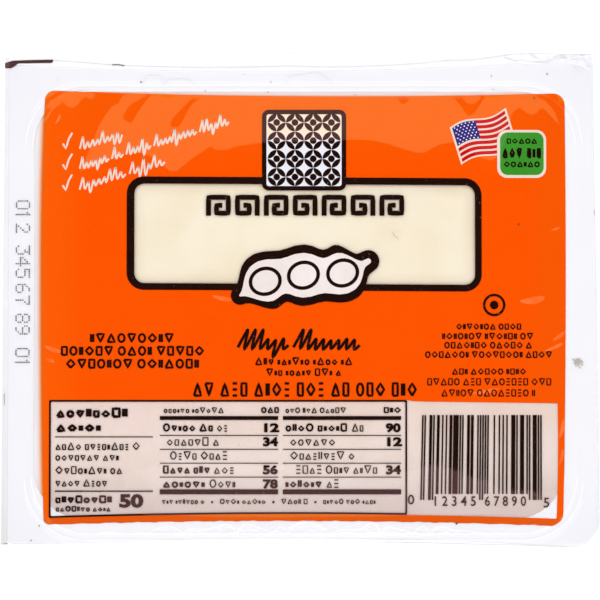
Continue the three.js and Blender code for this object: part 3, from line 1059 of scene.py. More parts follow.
# Plain figures that stand for type, in a box of 1 by 1: how wide beside their height, and their strokes.
markShapes = {
    "pair": (0.46, ([(0, 0), (0, 1)], [(1, 0), (1, 1)])),
    "ring": (0.86, (arc(0.5, 0.5, 0.5, 0.5, 90, 450, 14),)),
    "box": (0.74, ([(0, 0), (0, 1), (1, 1), (1, 0), (0, 0)],)),
    "kite": (0.98, ([(0.5, 0), (1, 0.5), (0.5, 1), (0, 0.5), (0.5, 0)],)),
    "peak": (0.96, ([(0, 0), (0.5, 1), (1, 0), (0, 0)],)),
    "valley": (0.96, ([(0, 1), (1, 1), (0.5, 0), (0, 1)],)),
    "stack": (0.7, tuple([(0, v), (1, v)] for v in (0, 0.5, 1))),
}
openMarks = ("box", "kite", "pair", "peak", "ring", "valley", "pair")
typeWeights = {  # stroke and gap as a share of the height, how wide the marks are set, and marks in a word
    "fine": (0.14, 0.17, 0.9, (3, 8)), "plain": (0.165, 0.15, 0.9, (3, 8)), "row": (0.2, 0.15, 0.95, (3, 8)),
    "bold": (0.225, 0.13, 1.0, (4, 9)), "strong": (0.215, 0.14, 0.95, (4, 11)),
    "tall": (0.165, 0.14, 0.66, (2, 4)), "heavy": (0.27, 0.1, 1.1, (5, 9)), "badge": (0.24, 0.1, 0.5, (3, 3)),
}
typeLines = (  # the weight, whether all marks are tall, and start, end, baseline and height of each line
    ("strong", True, ((-49.3, -29.7, -9.2, 2.35), (-56.1, -22.6, -12.2, 2.35), (-54.9, -23.8, -15.2, 2.35))),
    ("tall", True, ((-25.2, 27.1, -21.75, 3.4),)),
    ("heavy", False, (
        (-57.2, -40.4, -26.7, 2.5), (-57.2, -46.7, -30.0, 2.5), (-57.3, -44.1, -46.6, 1.9),
        (-57.2, -44.3, -48.55, 1.4),
    )),
    ("strong", True, ((36.3, 51.5, -6.1, 1.5),)),
    ("row", True, (
        (33.0, 54.3, -8.4, 1.6), (33.5, 54.0, -10.5, 1.6), (29.0, 58.7, -12.7, 1.6), (35.3, 52.6, -16.6, 1.5),
    )),
    ("plain", True, ((29.5, 58.5, -19.1, 1.7), (32.8, 54.7, -21.7, 1.7))),
    ("row", False, ((-10.7, 12.0, -14.4, 1.9), (-8.1, 9.4, -16.9, 1.8))),
    ("plain", False, (
        (-57.3, -37.6, -34.2, 1.9), (-57.3, -42.5, -36.7, 1.8), (-57.3, -41.7, -39.8, 1.9),
        (-57.3, -45.2, -42.7, 1.8),
    )),
    ("row", False, ((-32.0, -18.0, -25.6, 1.4),)), ("heavy", True, ((-9.3, -5.1, -25.6, 1.5),)),
    ("row", False, ((-3.6, 10.5, -25.6, 1.4),)), ("heavy", True, ((19.3, 23.4, -25.6, 1.5),)),
    ("row", False, (
        (-32.4, -22.5, -46.8, 1.3), (-18.9, -8.2, -46.8, 1.3), (-4.6, 1.6, -46.8, 1.3),
        (5.2, 17.4, -46.8, 1.3),
    )),
    ("heavy", True, ((48.2, 55.4, 37.5, 1.3),)), ("badge", True, ((47.2, 56.3, 34.05, 2.55),)),
    ("heavy", True, ((47.5, 56.0, 32.0, 1.4),)),
)
bullets = ((-20.7, -46.3), (-6.4, -46.3), (3.4, -46.3))
typeRhythm = {"low": 0.76, "tallShare": 0.28, "wordGap": 0.3}  # height of low marks, share of tall ones
tableShape = {
    "first": -29.9, "pitch": 3.27, "height": 2.0,
    "runs": (  # row from the back, weight, start and end
        (0, "bold", -32.2, -20.5), (0, "fine", -19.6, -17.1), (1, "fine", -31.3, -19.1),
        (2, "fine", -30.5, -17.1), (3, "bold", -32.2, -21.2), (3, "fine", -20.3, -15.6),
        (4, "bold", -32.2, -22.4), (4, "fine", -21.3, -15.3),
        (0, "bold", -3.6, 10.8), (0, "fine", 11.9, 14.6), (1, "fine", -2.5, 8.0), (2, "fine", -2.5, 12.5),
        (3, "fine", -1.2, 17.8), (4, "bold", -3.6, 4.9), (4, "fine", 6.0, 8.9),
    ),
    "numbers": (  # right end of the column, row and number
        (-5.4, 0, "12"), (-5.4, 1, "34"), (-5.4, 3, "56"), (-5.4, 4, "78"),
        (23.3, 0, "90"), (23.3, 1, "12"), (23.3, 3, "34"),
    ),
    "numeral": (1.95, 0.26, 3.5),  # height, how much bolder, and width of two of them
    "serving": ("50", -39.6, -47.4, 2.9, 0.38, 5.6),  # number, middle, foot, height, how much bolder, width
    "columns": (-32.9, -4.2), "width": 27.6,
    "thickRules": ((-26.7, 0.9), (-43.9, 1.15)),  # y and thickness
    "thinRules": (-30.75, 3.24, 4, 0.2),  # y of the first, pitch, count and thickness
    "sideRules": ((-45.95, -31.1, 22.9, 0.22), (-45.95, -43.75, 22.9, 0.3)),  # x, y, length and thickness
}


def rowBaseline(row):
    return tableShape["first"] - tableShape["pitch"] * row


def setLine(strokes, start, end, baseline, height, draw, weight, capitals=False):
    share, gap, wider, word = typeWeights[weight]
    stroke = share * height
    names = openMarks if share > 0.19 else sorted(markShapes)
    low, tallShare, wordGap = typeRhythm.values()
    marks, x, last = [], 0.0, ""
    while x < end - start - 0.5 * height:
        for _ in range(draw.randint(*word)):
            last = draw.choice([name for name in names if name != last])
            wide, lines = markShapes[last]
            rise = height * (1 if capitals or draw.random() < tallShare else low)
            width = max(wide * rise * wider, stroke)
            if x + width > end - start + wordGap * height:
                break
            marks.append((x, width, rise, lines))
            x += width + gap * height
        x += wordGap * height
    stretch = (end - start) / (marks[-1][0] + marks[-1][1])  # so that the line ends where it should
    for x, width, rise, lines in marks:
        left, across, up = start + x * stretch + stroke / 2, width * stretch - stroke, rise - stroke
        for line in lines:
            path = [(left + u * across, baseline + stroke / 2 + v * up) for u, v in line]
            strokes.setdefault(round(stroke / 0.02) * 0.02, []).append(path)


def typeParts(depth):
    draw = random.Random(11)
    strokes = {}
    for weight, capitals, lines in typeLines:
        for line in lines:
            setLine(strokes, *line, draw, weight, capitals)
    for row, weight, start, end in tableShape["runs"]:
        setLine(strokes, start, end, rowBaseline(row), tableShape["height"], draw, weight)
    parts = [linePart(lines, stroke, darkLook, depth) for stroke, lines in sorted(strokes.items())]
    return parts + [dotPart(bullets, 0.3, darkLook, depth)]


def tableNumbers(depth):
    height, bold, span = tableShape["numeral"]
    parts = [numeralPart(number, right - span / 2, rowBaseline(row), height, depth, bold, span)
             for right, row, number in tableShape["numbers"]]
    *place, bold, span = tableShape["serving"]
    return parts + [numeralPart(*place, depth, bold, span)]


def ruleBlocks():
    blocks, width = [], tableShape["width"]
    first, pitch, count, thin = tableShape["thinRules"]
    for left in tableShape["columns"]:
        middle = left + width / 2
        blocks += [(middle, y, width, thick, 0) for y, thick in tableShape["thickRules"]]
        blocks += [(middle, first - pitch * row, width, thin, 0) for row in range(count)]
    return blocks + [(*rule, 0) for rule in tableShape["sideRules"]]


barCode = {
    "digits": "012345678905", "left": 28.1, "width": 28.1, "top": -26.0, "foot": -44.4, "guardFoot": -45.8,
    "spread": 0.06,  # how much the ink widens each bar
    "lean": (0.012, 0.0225),  # turn of the middle bars, and how much more or less the outer ones have
    "guards": ((0, 10), (45, 50), (85, 95)),  # modules whose bars reach lower
}
leftCodes = "0001101 0011001 0010011 0111101 0100011 0110001 0101111 0111011 0110111 0001011".split()


def barBlocks():
    digits = [int(digit) for digit in barCode["digits"]]
    right = [leftCodes[digit].translate(str.maketrans("01", "10")) for digit in digits[6:]]
    modules = "101" + "".join(leftCodes[digit] for digit in digits[:6]) + "01010" + "".join(right) + "101"
    pitch, (lean, fan) = barCode["width"] / len(modules), barCode["lean"]
    blocks, start = [], None
    for index, module in enumerate(modules + "0"):
        if module == "1" and start is None:
            start = index
        elif module == "0" and start is not None:
            guard = any(low <= start < high for low, high in barCode["guards"])
            foot = barCode["guardFoot"] if guard else barCode["foot"]
            x = barCode["left"] + pitch * (start + index) / 2
            turn = lean + fan * (0.5 - start / len(modules))
            wide = pitch * (index - start) + barCode["spread"]
            blocks.append((x, (barCode["top"] + foot) / 2, wide, barCode["top"] - foot, -turn))
            start = None
    return blocks


def numeralPart(text, x, y, height, depth, bold=0.0, span=None):
    curve = bpy.data.curves.new("numerals", "FONT")
    curve.body = text
    curve.align_x = "CENTER"
    curve.size = height * mm / 0.72
    curve.extrude = inkThickness * mm / 2
    curve.offset = bold * mm / 2
    curve.resolution_u = 3
    points, polygons = meshPart(bpy.data.objects.new("numerals", curve))
    if span:
        points[:, 0] *= span / np.ptp(points[:, 0])
    return layOnFilm((points + (x, y, 0), polygons), depth)


tileShape = {
    "rect": ((-9.1, 26.5), (10.6, 45.5), 1.6), "frame": 1.05, "side": 0.25, "cells": 4, "dot": 0.8,
    "petal": 0.97,  # how much of its full size each lens has
}


def tileMarks():  # interlocking circles: the lenses where two of them overlap, and a dot in each circle
    (left, front), (right, _), _ = tileShape["rect"]
    cells, petal = tileShape["cells"], tileShape["petal"]
    left, right, front = (
        left + tileShape["frame"] + tileShape["side"], right - tileShape["frame"] - tileShape["side"],
        front + tileShape["frame"],
    )
    step = (right - left) / cells
    radius = step / 2
    lens = arc(0, 0, radius, radius, 0, 90, 8) + arc(radius, radius, radius, radius, 180, 270, 8)[1:-1]
    lens = [tuple(radius / 2 + (v - radius / 2) * petal for v in point) for point in lens]
    middles = [(left + (column + 0.5) * step, front + (row + 0.5) * step)
               for row in range(cells) for column in range(cells)]
    lenses = [placed(lens, middle, quarter * math.pi / 2) for middle in middles for quarter in range(4)]
    return lenses, [circleOutline(x, y, tileShape["dot"], 16) for x, y in middles]


podShape = {
    "middle": (0.7, 6.3),
    "length": 31.0,
    "tilt": math.radians(15),
    "bend": 1.5,
    "outline": 1.95,
    "white": 0.9,
    "beans": ((0.21, 0.5, 0.79), 3.5, 3.0, 0.85),  # where along the pod, half length, half width and line
    "widths": (
        (0.0, 0.25), (0.03, 0.8), (0.06, 1.8), (0.09, 2.9), (0.12, 3.8), (0.16, 4.6), (0.21, 4.95),
        (0.26, 4.75), (0.31, 4.3), (0.35, 4.1), (0.39, 4.35), (0.44, 4.95), (0.5, 5.25), (0.56, 4.95),
        (0.61, 4.35), (0.65, 4.1), (0.69, 4.3), (0.74, 4.75), (0.79, 4.9), (0.84, 4.5), (0.88, 3.6),
        (0.91, 2.5), (0.94, 1.3), (0.96, 0.8), (1.0, 0.65),
    ),
}


def podSpine(share):
    return (share - 0.5) * podShape["length"], podShape["bend"] * math.sin(2 * math.pi * (share - 0.04))


def podOutline(grow):
    def beside(share, turn):  # a point at the pod's half width, a turn away from the way its spine runs
        (x, y), (aheadX, aheadY) = podSpine(share), podSpine(share + 0.01)
        width = float(alongTable(share, podShape["widths"])) + grow
        angle = math.atan2(aheadY - y, aheadX - x) + turn
        return x + width * math.cos(angle), y + width * math.sin(angle)

    quarter, steps = math.pi / 2, 80
    lower = [beside(step / steps, -quarter) for step in range(steps + 1)]
    upper = [beside(1 - step / steps, quarter) for step in range(steps + 1)]
    tip = [beside(1.0, -quarter + math.pi * step / 10) for step in range(1, 10)]
    foot = [beside(0.0, quarter + math.pi * step / 10) for step in range(1, 10)]
    return placed(lower + tip + upper + foot, podShape["middle"], podShape["tilt"])


def podBeans():
    shares, halfX, halfY, _ = podShape["beans"]
    return [placed(arc(*podSpine(share), halfX, halfY, 0, 360, 26)[:-1], podShape["middle"], podShape["tilt"])
            for share in shares]


friezeShape = {"low": (-22.2, 20.6), "high": (24.2, 25.5), "units": 7, "stroke": 1.18, "gap": 0.95}


def spiralLines():  # a row of squared spirals
    (left, low), (right, high) = friezeShape["low"], friezeShape["high"]
    half, gap = friezeShape["stroke"] / 2, friezeShape["gap"]
    pitch = (right - left + gap) / friezeShape["units"]
    lines = []
    for index in range(friezeShape["units"]):
        start = left + index * pitch + half
        end, inner, shelf = start + pitch - gap - 2 * half, start + 1.85, (low + high) / 2
        path = [
            (start, low), (start, high - half), (end, high - half), (end, low + half), (inner, low + half),
            (inner, shelf), (end - 1.4, shelf),
        ]
        lines.append(path if index % 2 == 0 else [(start + end - x, y) for x, y in path])
    return lines


def smoothPath(points, cuts=4):  # a curve through the points
    ends = [points[0]] + list(points) + [points[-1]]
    path = []
    for corners in zip(ends, ends[1:], ends[2:], ends[3:]):
        a, b, c, d = np.array(corners)
        for t in (cut / cuts for cut in range(cuts)):
            bow = (2 * a - 5 * b + 4 * c - d) * t * t + (3 * b - a - 3 * c + d) * t**3
            path.append(tuple(0.5 * (2 * b + (c - a) * t + bow)))
    return path + [tuple(points[-1])]


penLines = (  # start, end, height, and the waves in each run
    ((-51.8, 36.0), (-41.9, 39.0), 2.9, (8,)), ((-51.8, 31.3), (-16.9, 42.0), 2.9, (6, 2, 5, 9, 6)),
    ((-51.8, 26.4), (-31.9, 32.6), 2.9, (8, 6)),
)
titleLine = (-14.9, -10.8), (13.4, -10.8), 4.9, (6, 8)


def penLine(start, end, height, words, draw):  # slanted pen waves, some of them tall or low
    lines, x = [], 0.0
    for count in words:
        turns = [(x, 0.25)]
        for wave in range(count):
            top = 1.9 if wave == 0 or draw.random() < 0.2 else draw.uniform(0.85, 1.05)
            foot = -0.75 if wave and draw.random() < 0.15 else draw.uniform(0.0, 0.1)
            turns += [(x + 0.42, top * 0.9), (x + 0.5, top), (x + 0.58, top * 0.86), (x + 0.78, foot)]
            x += 0.84
        lines.append(turns + [(x + 0.4, 0.45)])
        x += 1.0
    scale = height / 2
    spread = (math.dist(start, end) / scale) / (x - 0.6)
    slope = math.atan2(end[1] - start[1], end[0] - start[0])
    paths = [[((u * spread + 0.3 * v) * scale, v * scale) for u, v in smoothPath(line)] for line in lines]
    return [placed(path, start, slope) for path in paths]


flagShape = {
    "corner": (35.5, 41.0), "along": (12.3, 4.3), "down": (2.4, -7.9), "wave": 0.65, "size": (13.7, 9.0),
    "canton": 0.44, "spread": 0.14, "starRows": 7, "star": 0.17, "border": 0.5,
}


def flagPoint(u, v):
    wave = flagShape["wave"] * math.sin(2 * math.pi * (0.95 * u + 0.05))
    x, y = (a + b * u + c * v for a, b, c in zip(flagShape["corner"], flagShape["along"], flagShape["down"]))
    return x - 0.25 * wave, y + wave


def flagPatch(left, right, high, low, grow=0.0, cuts=16):
    spanU, spanV = (grow / size for size in flagShape["size"])
    left, right, high, low = left - spanU, right + spanU, high - spanV, low + spanV
    across = [left + (right - left) * cut / cuts for cut in range(cuts + 1)]
    return [flagPoint(u, high) for u in across] + [flagPoint(u, low) for u in across[::-1]]


def tick(x, y):
    return [(x - 1.2, y - 0.5), (x - 0.5, y - 1.7), (x + 0.2, y + 0.6), (x + 1.0, y + 2.0)]


ringMark = {"middle": (45.2, -0.3), "radius": 2.35, "stroke": 0.55, "dot": 1.0}
barNumbers = (
    ("1 2 3 4 5", 35.8, -47.15, 9.6), ("6 7 8 9 0", 47.7, -47.15, 9.6), ("0", 25.7, -46.8, None),
    ("5", 57.3, -47.5, None),
)
registrationBar = (
    (-69.5, 55.6), (-69.2, 55.35), (-68.1, 55.35), (-67.3, 55.8), (-66.4, 56.4), (-65.7, 56.5),
    (-58.7, 56.6), (-58.2, 56.8), (-58.2, 57.4), (-63.4, 57.3), (-67.6, 57.15), (-68.6, 56.85),
    (-69.5, 56.6),
)


def makeDark():
    depth, front = inkDepth["dark"], inkDepth["frontDark"]
    tile, (x, y) = tileShape["rect"], ringMark["middle"]
    petals, dots = tileMarks()
    tableFrame = [bentOutline(labelShape["nutrition"], panelEdges(bend(24.8 - by), by), 4)
                  for by in (0.0, labelShape["frameLine"])]
    parts = [
        inkSheet([windowOutline(), windowOutline(0.0, "windowInner")], depth, 0.9),
        inkSheet(tableFrame, depth, 1.0),
        inkSheet([grownRect(tile, 0), grownRect(tile, -tileShape["frame"])], front, 1.0),
        inkSheet(petals, front, 1.2), *(inkSheet([dot], front, 1.0) for dot in dots),
        inkSheet([podOutline(podShape["outline"]), podOutline(0.0)], front, 0.9),
        linePart(podBeans(), podShape["beans"][3], darkLook, front, True),
        linePart(spiralLines(), friezeShape["stroke"], darkLook, depth),
        linePart([circleOutline(x, y, ringMark["radius"])], ringMark["stroke"], darkLook, depth, True),
        inkSheet([circleOutline(x, y, ringMark["dot"], 20)], depth, 1.0),
        *tableNumbers(depth),
        blockPart(ruleBlocks(), darkLook, depth, 24, 2), blockPart(barBlocks(), darkLook, depth, 2, 16),
        linePart(penLine(*titleLine, random.Random(4)), 0.66, darkLook, depth),
        *(numeralPart(text, left, foot, 2.3, depth, 0.05, span) for text, left, foot, span in barNumbers),
        inkSheet([list(registrationBar)], depth, 0.6),
    ]
    return newPiece("darkPrint", parts, darkLook), newPiece("typePrint", typeParts(depth), darkLook)


badgeShape = {"white": ((46.0, 29.5), (57.5, 40.8), 2.3), "green": ((46.7, 30.2), (56.9, 40.2), 1.8)}


def makeWhite():
    depth = inkDepth["white"]
    draw = random.Random(21)
    tile = inkSheet([grownRect(tileShape["rect"], -0.4)], inkDepth["frontWhite"])
    pod = inkSheet([podOutline(podShape["white"])], inkDepth["frontWhite"])
    cream = [
        inkSheet([roundedOutline(*badgeShape["white"])], inkDepth["badge"]),
        inkSheet([flagPatch(0, 1, 0, 1, flagShape["border"])], depth, 0.6),
        linePart([tick(-54.6, y) for y in (38.1, 33.2, 28.3)], 0.45, creamLook, depth),
        *(linePart(penLine(*line, draw), 0.42, creamLook, depth) for line in penLines),
    ]
    piece = newPiece("whitePrint", [tile, pod], whiteLook)
    past = tileShape["rect"][1][1] - np.vstack([tile[0], pod[0]])[:, 1]
    past[len(tile[0]):] = 50  # the pod keeps its plain white
    storeDistances(piece, {"pastTile": past})
    return piece, newPiece("creamPrint", cream, creamLook)


def makeAccents():
    depth, canton, rows = inkDepth["accent"], flagShape["canton"], flagShape["starRows"]
    badge = inkSheet([roundedOutline(*badgeShape["green"])], inkDepth["green"])
    green = newPiece("greenPrint", [badge], greenLook)
    spread = flagShape["spread"]
    stripes = [flagPatch(canton if stripe < 7 else 0.0, 1, (stripe - spread) / 13, (stripe + 1 + spread) / 13)
               for stripe in range(0, 13, 2)]
    red = newPiece("redPrint", [inkSheet([stripe], depth, 0.45) for stripe in stripes], redLook)
    field = inkSheet([flagPatch(0, canton, 0, 7 / 13)], inkDepth["blue"], 0.8)
    blue = newPiece("bluePrint", [field], blueLook)
    stars = [flagPoint(canton * (column + 0.6 + 0.5 * (row % 2)) / 6.2, 7 / 13 * (row + 0.5) / rows)
             for row in range(rows) for column in range(6 - row % 2)]
    stars = newPiece("starPrint", [dotPart(stars, flagShape["star"], starLook, inkDepth["dots"])], starLook)
    return green, red, blue, stars


figurePaths = (  # each figure from 0 to 9 on 5 by 7 dots: column and row of the points where its lines turn
    "10 30 41 45 36 16 05 01 10", "05 16 10", "05 16 36 45 44 00 40", "06 46 24 34 43 41 30 10 01",
    "30 36 03 02 42", "46 06 04 34 43 41 30 10 01", "36 26 04 01 10 30 41 42 33 03", "06 46 45 23 20",
    "13 04 05 16 36 45 44 33 13 02 01 10 30 41 42 33", "10 20 42 45 36 16 05 04 13 43",
)
codeShape = {
    "x": -66.6, "pitchX": 0.507, "pitchY": 0.455, "dot": 0.19,
    "groups": (("012", 24.1), ("345", 13.5), ("67", 4.5), ("89", -2.5), ("01", -10.5)),
}


def codeDots():  # a run of figures in dots, turned to read down the side
    dots = set()
    for group, start in codeShape["groups"]:
        for index, digit in enumerate(group):
            path = [(int(column), int(row)) for column, row in figurePaths[int(digit)].split()]
            for here, there in zip(path, path[1:]):
                steps = max(abs(b - a) for a, b in zip(here, there))
                for step in range(steps + 1):
                    across, up = between(here, there, step / steps)
                    x = codeShape["x"] + up * codeShape["pitchX"]
                    dots.add((round(x, 3), round(start - (index * 6 + across) * codeShape["pitchY"], 3)))
    return sorted(dots)


def makeCode():
    part = dotPart(codeDots(), codeShape["dot"], codeLook, inkDepth["code"])
    return newPiece("codePrint", [part], codeLook)


# Dust, crumbs and marks on the pack, and lines of painted shade and painted highlight along the film's folds.
wearAndPaintedLight = {
    "backCrease": (  # the fold of the film behind the flange, drawn as a grey line of painted shade
        (-58.3, 57.3), (-51.3, 56.75), (-44.3, 56.15), (-34, 55.75), (-23.4, 55.56), (-12, 55.65),
        (-2.4, 55.9), (4, 55.7), (11.6, 55.7), (20, 56.05), (27.9, 56.5), (33.7, 57.2), (40, 57.3),
        (46.5, 58.2), (50.0, 58.7),
    ),
    # grey lines of painted shade in the crumpled corner
    "cornerCreases": (
        ((50.0, 58.7), (56, 58.75), (61, 58.6), (67.9, 58.6)),
        ((47.7, 57.9), (50.3, 57.1), (52, 57.3), (53.5, 56.85), (57.7, 57.0), (61, 57.9), (64.5, 57.3)),
        ((65.9, 58.4), (66.6, 57.2), (67.8, 55.8)), ((54.0, 58.3), (56.0, 57.4), (58.6, 58.4)),
        ((64.0, 56.1), (64.9, 54.9)),
    ),
    # white lines of painted highlight on the crumpled film
    "creaseHighlights": (
        ((56.0, 57.6), (58.4, 58.2), (59.6, 57.4), (61.3, 58.1)), ((60.5, 56.8), (62.6, 57.6), (64.6, 57.0)),
        ((65.4, 57.9), (67.4, 58.3)), ((65.2, 56.4), (67.9, 55.0)), ((52.0, 56.6), (56.3, 56.4)),
    ),
    "corner": ((55.9, 57.2), (59.6, 58.3), (61.0, 58.6), (68.3, 58.7), (68.3, 55.6), (62, 56.6), (56, 56.6)),
    "blisters": (  # x, y, half width and rise; their outlines are grey lines of painted shade
        (-34.6, 51.6, 2.4, 2.3), (-28.6, 51.3, 3.4, 1.7), (1.8, 51.4, 5.4, 2.9),
    ),
    "specks": (  # x, y and radius
        (-37.5, 52.1, 0.19), (57.8, 54.0, 0.17), (51.0, 18.6, 0.2), (36.3, -51.3, 0.24), (-61.0, -51.8, 0.16),
        (-62.9, -55.2, 0.16), (-7.0, 52.1, 0.13), (-7.7, 49.7, 0.13), (44.7, 53.5, 0.14), (45.1, 50.3, 0.12),
        (54.7, 48.3, 0.2), (12.8, 49.1, 0.12), (-22.4, 50.0, 0.12), (44.9, 46.0, 0.12),
    ),
    "dustCount": 46,
    "dustSize": 0.085,
    "dash": ((-44.3, 56.15), (-43.0, 56.2), (-41.4, 55.95)),
    "marks": (
        ((-69.3, -21.0), (-69.35, -23.6)), ((68.7, 21.9), (68.75, 20.9)), ((-69.4, -56.0), (-68.2, -55.95)),
    ),
    "hair": ((21.4, 16.9), (21.8, 15.9), (22.4, 15.5), (22.9, 15.0)),
    "streakHighlights": (  # start, end and width
        (58.9, -8.5, 61.6, -6.6, 0.9), (57.1, -11.0, 61.2, -9.2, 0.8), (51.2, 0.6, 57.0, 1.5, 1.6),
        (58.6, 17.3, 60.6, 17.9, 0.5), (60.3, -31.5, 61.4, -27.0, 0.9), (60.3, -37.8, 61.2, -34.0, 0.7),
        (-59.9, -9.8, -56.0, -11.2, 1.0), (-59.6, -12.6, -57.6, -13.6, 0.8), (-20.8, 1.9, -15.9, 0.9, 1.0),
        (-57.6, 42.2, -56.4, 44.4, 0.6), (40.0, -20.9, 46.0, -19.9, 0.9),
    ),
    "smudge": (64.9, -13.6, 1.1),
    "smudgeCount": 46,
}


def makeWeld():
    under, width, rise = inkDepth["weld"], weldShape["lineWidth"], weldShape["lineHeight"]
    rings = [roundedOutline(*ring, 12) for ring in weldShape["rings"]]
    runs = [half for ring in rings for half in (ring[: len(ring) // 2], ring[len(ring) // 2:])]
    parts = [linePart(runs, width, whiteHighlightLook, under, False, rise)]
    for line, (*_, reach) in enumerate(weldShape["ends"]):
        along = np.arange(*reach, 0.3)
        path = asPoints(along, weldEnd(along, line))
        parts.append(linePart([path], width * (1.0 - 0.15 * line), whiteHighlightLook, under, False, rise))
    return newPiece("weldRidges", parts, whiteHighlightLook)


# grey lines of painted shade along folds, blister edges and the film's front edge, and white lines of painted
# highlight in the crumpled corner
def makeCreaseShading():
    depth, frontX = inkDepth["crease"], np.linspace(19, 62, 60)
    blisters = []
    for x, y, half, rise in wearAndPaintedLight["blisters"]:
        angles = [math.pi * step / 24 for step in range(25)]
        blisters.append([(x + half * math.cos(a), y + rise * (1 + 0.12 * math.sin(5 * a + x)) * math.sin(a))
                         for a in angles])
    return newPiece("creaseShadeLines", [
        linePart([wearAndPaintedLight["backCrease"]], 0.13, creaseShadeLook, depth),
        linePart(wearAndPaintedLight["cornerCreases"], 0.15, creaseShadeLook, depth),
        linePart(blisters, 0.1, creaseShadeLook, depth),
        linePart([asPoints(frontX, filmFront(frontX) + 0.1)], 0.16, creaseShadeLook, depth),
    ], creaseShadeLook), newPiece("paintedFilmGlints", [linePart(wearAndPaintedLight["creaseHighlights"], 0.3, whiteHighlightLook, depth)], whiteHighlightLook)


def makeHaze():  # film that hangs past the flange is hazy, most of all at the left and in the crumpled corner
    under, front = inkDepth["haze"], -56.2
    along, across = np.linspace(front, 58.0, 70), np.linspace(-68.3, 55.5, 90)
    left = asPoints(filmSide(along, "left") + 0.08, along)
    left += asPoints(trayShape["flangeLeft"] + 0.45, along[::-1])
    sheet = inkSheet([left], under, 0.8)
    piece = newPiece("filmHaze", [sheet], hazeLook)
    storeDistances(piece, {"fromFront": sheet[0][:, 1] - front})
    strip = asPoints(across, flangeBack(across) + 0.1) + asPoints(across[::-1], filmShape["back"] - 0.08)
    pale = newPiece("paleHaze", [inkSheet([strip], under, 0.9)], paleHazeLook)
    return piece, pale, newPiece("cornerHaze", [inkSheet([list(wearAndPaintedLight["corner"])], under, 0.8)], crumpledLook)


def makeDust():
    draw, above = random.Random(17), inkDepth["above"]
    parts = [inkSheet([circleOutline(x, y, radius, 9)], above, 1.0) for x, y, radius in wearAndPaintedLight["specks"]]
    dots = [(draw.uniform(-67, 67), draw.uniform(-54, 54)) for _ in range(wearAndPaintedLight["dustCount"])]
    parts.append(dotPart(dots, wearAndPaintedLight["dustSize"], dustLook, above))
    parts.append(linePart([wearAndPaintedLight["dash"]], 0.2, dustLook, above))
    parts.append(linePart(wearAndPaintedLight["marks"], 0.1, dustLook, above))
    x, y, reach = wearAndPaintedLight["smudge"]
    grains = [(x + draw.gauss(0, 0.5) * reach, y + draw.gauss(0, 0.6) * reach)
              for _ in range(wearAndPaintedLight["smudgeCount"])]
    crumbs = [dotPart(grains, 0.17, crumbLook, above), linePart([wearAndPaintedLight["hair"]], 0.15, crumbLook, above)]
    return newPiece("dust", parts, dustLook), newPiece("crumbs", crumbs, crumbLook)


def makeStreakHighlights():  # painted highlights: pale streaks where the slack film is creased over the print
    parts = []
    for startX, startY, endX, endY, width in wearAndPaintedLight["streakHighlights"]:
        reach = math.dist((startX, startY), (endX, endY)) / 2
        angles = [2 * math.pi * step / 22 for step in range(22)]
        leaf = [(reach * math.cos(a), width / 2 * math.sin(a) * (1 + 0.5 * math.cos(a + 1))) for a in angles]
        middle = (startX + endX) / 2, (startY + endY) / 2
        leaf = placed(leaf, middle, math.atan2(endY - startY, endX - startX))
        parts.append(inkSheet([leaf], inkDepth["streakHighlight"], 0.8))
    return newPiece("streakHighlights", parts, streakHighlightLook)


tray = makeTray()
tofu = makeTofu()
film = makeFilm()
orange = makeOrange()
dark, typed = makeDark()
white, cream = makeWhite()
green, red, blue, stars = makeAccents()
code = makeCode()
weld = makeWeld()
creases, glints = makeCreaseShading()
haze, paleHaze, cornerHaze = makeHaze()
dust, crumbs = makeDust()
streakHighlights = makeStreakHighlights()

for slotName, pieces in (
    ("white_plastic", (tray, weld)), ("tofu", (tofu,)), ("orange_ink", (orange, streakHighlights)),
    ("clear_film", (film, creases, haze, paleHaze, cornerHaze, glints)),
    ("dark_ink", (dark, typed, code, dust, crumbs)), ("white_ink", (white, cream, stars)),
    ("accent_ink", (green, red, blue)),
):
    for piece in pieces:
        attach(piece, "root")
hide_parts("tray")
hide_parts("tofu_block")
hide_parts("lid_film")
print("pieces ride on the body")


studio = {
    "distance": 0.7, "tilt": math.radians(2.5), "target": (-0.0002, 0.0009), "frameWidth": 0.1404,
    "softboxHeight": 0.95, "softboxPower": 2.1, "softboxSize": (1.3, 0.7),
    "softboxes": (("backSoftbox", 0.522), ("frontSoftbox", -0.442)),  # how far back each of them hangs
    "skyStrength": 1.6, "skyTint": (0.97, 0.985, 1.0),
    "sky": ((0.0, 0.27), (0.3, 0.42), (0.55, 1.0), (0.8, 1.0), (0.93, 0.0115)),  # brightness by height
    "floorReach": 3.0,
}


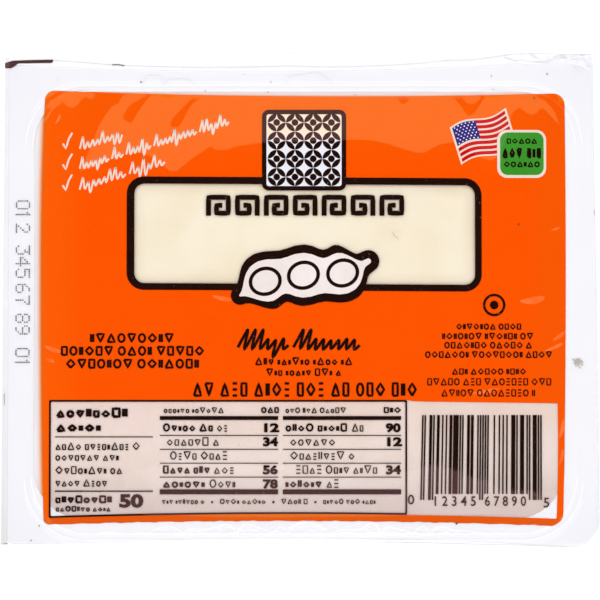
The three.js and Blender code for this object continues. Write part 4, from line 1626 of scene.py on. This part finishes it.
def makeFloor():
    mesh, reach = bpy.data.meshes.new("floor"), studio["floorReach"]
    corners = [(-reach, -reach, 0), (reach, -reach, 0), (reach, reach, 0), (-reach, reach, 0)]
    mesh.from_pydata(corners, [], [(0, 1, 2, 3)])
    material, tree, surface = newMaterial("paleFloor")
    feed(tree, surface, {
        "Base Color": (0.945, 0.94, 0.935, 1), "Roughness": 0.9, "Specular IOR Level": 0.1,
        "Emission Color": (1, 1, 1, 1), "Emission Strength": 0.05,
    })
    mesh.materials.append(material)
    floor = bpy.data.objects.new("floor", mesh)
    bpy.context.scene.collection.objects.link(floor)


def makeStudio():
    for name, back in studio["softboxes"]:
        light = bpy.data.lights.new(name, "AREA")
        light.shape = "RECTANGLE"
        light.size, light.size_y = studio["softboxSize"]
        light.energy = studio["softboxPower"]
        holder = bpy.data.objects.new(name, light)  # it looks straight down
        holder.location = (0, back, trayTop * mm + studio["softboxHeight"])
        bpy.context.scene.collection.objects.link(holder)
    world = bpy.data.worlds.new("studio")
    bpy.context.scene.world = world
    world.use_nodes = True
    tree = world.node_tree
    place = addNode(tree, "ShaderNodeTexCoord", output="Generated")
    stops = [(height, tuple(part * bright for part in studio["skyTint"])) for height, bright in studio["sky"]]
    sky = addRamp(tree, addNode(tree, "ShaderNodeSeparateXYZ", {0: place}, "Z"), stops)
    feed(tree, tree.nodes["Background"], {"Color": sky, "Strength": studio["skyStrength"]})


def makeCamera():
    camera = bpy.data.cameras.new("camera")
    camera.sensor_width = 36
    camera.lens = camera.sensor_width * studio["distance"] / studio["frameWidth"]
    camera.clip_start = 0.01
    holder = bpy.data.objects.new("camera", camera)
    tilt, distance, (x, y) = studio["tilt"], studio["distance"], studio["target"]
    holder.location = (x, y - distance * math.sin(tilt), trayTop * mm + distance * math.cos(tilt))
    holder.rotation_euler = (tilt, 0, 0)
    bpy.context.scene.collection.objects.link(holder)
    bpy.context.scene.camera = holder


makeFloor()
makeStudio()
makeCamera()
bpy.context.scene.view_settings.view_transform = "Standard"
print("floor, light and camera ready")
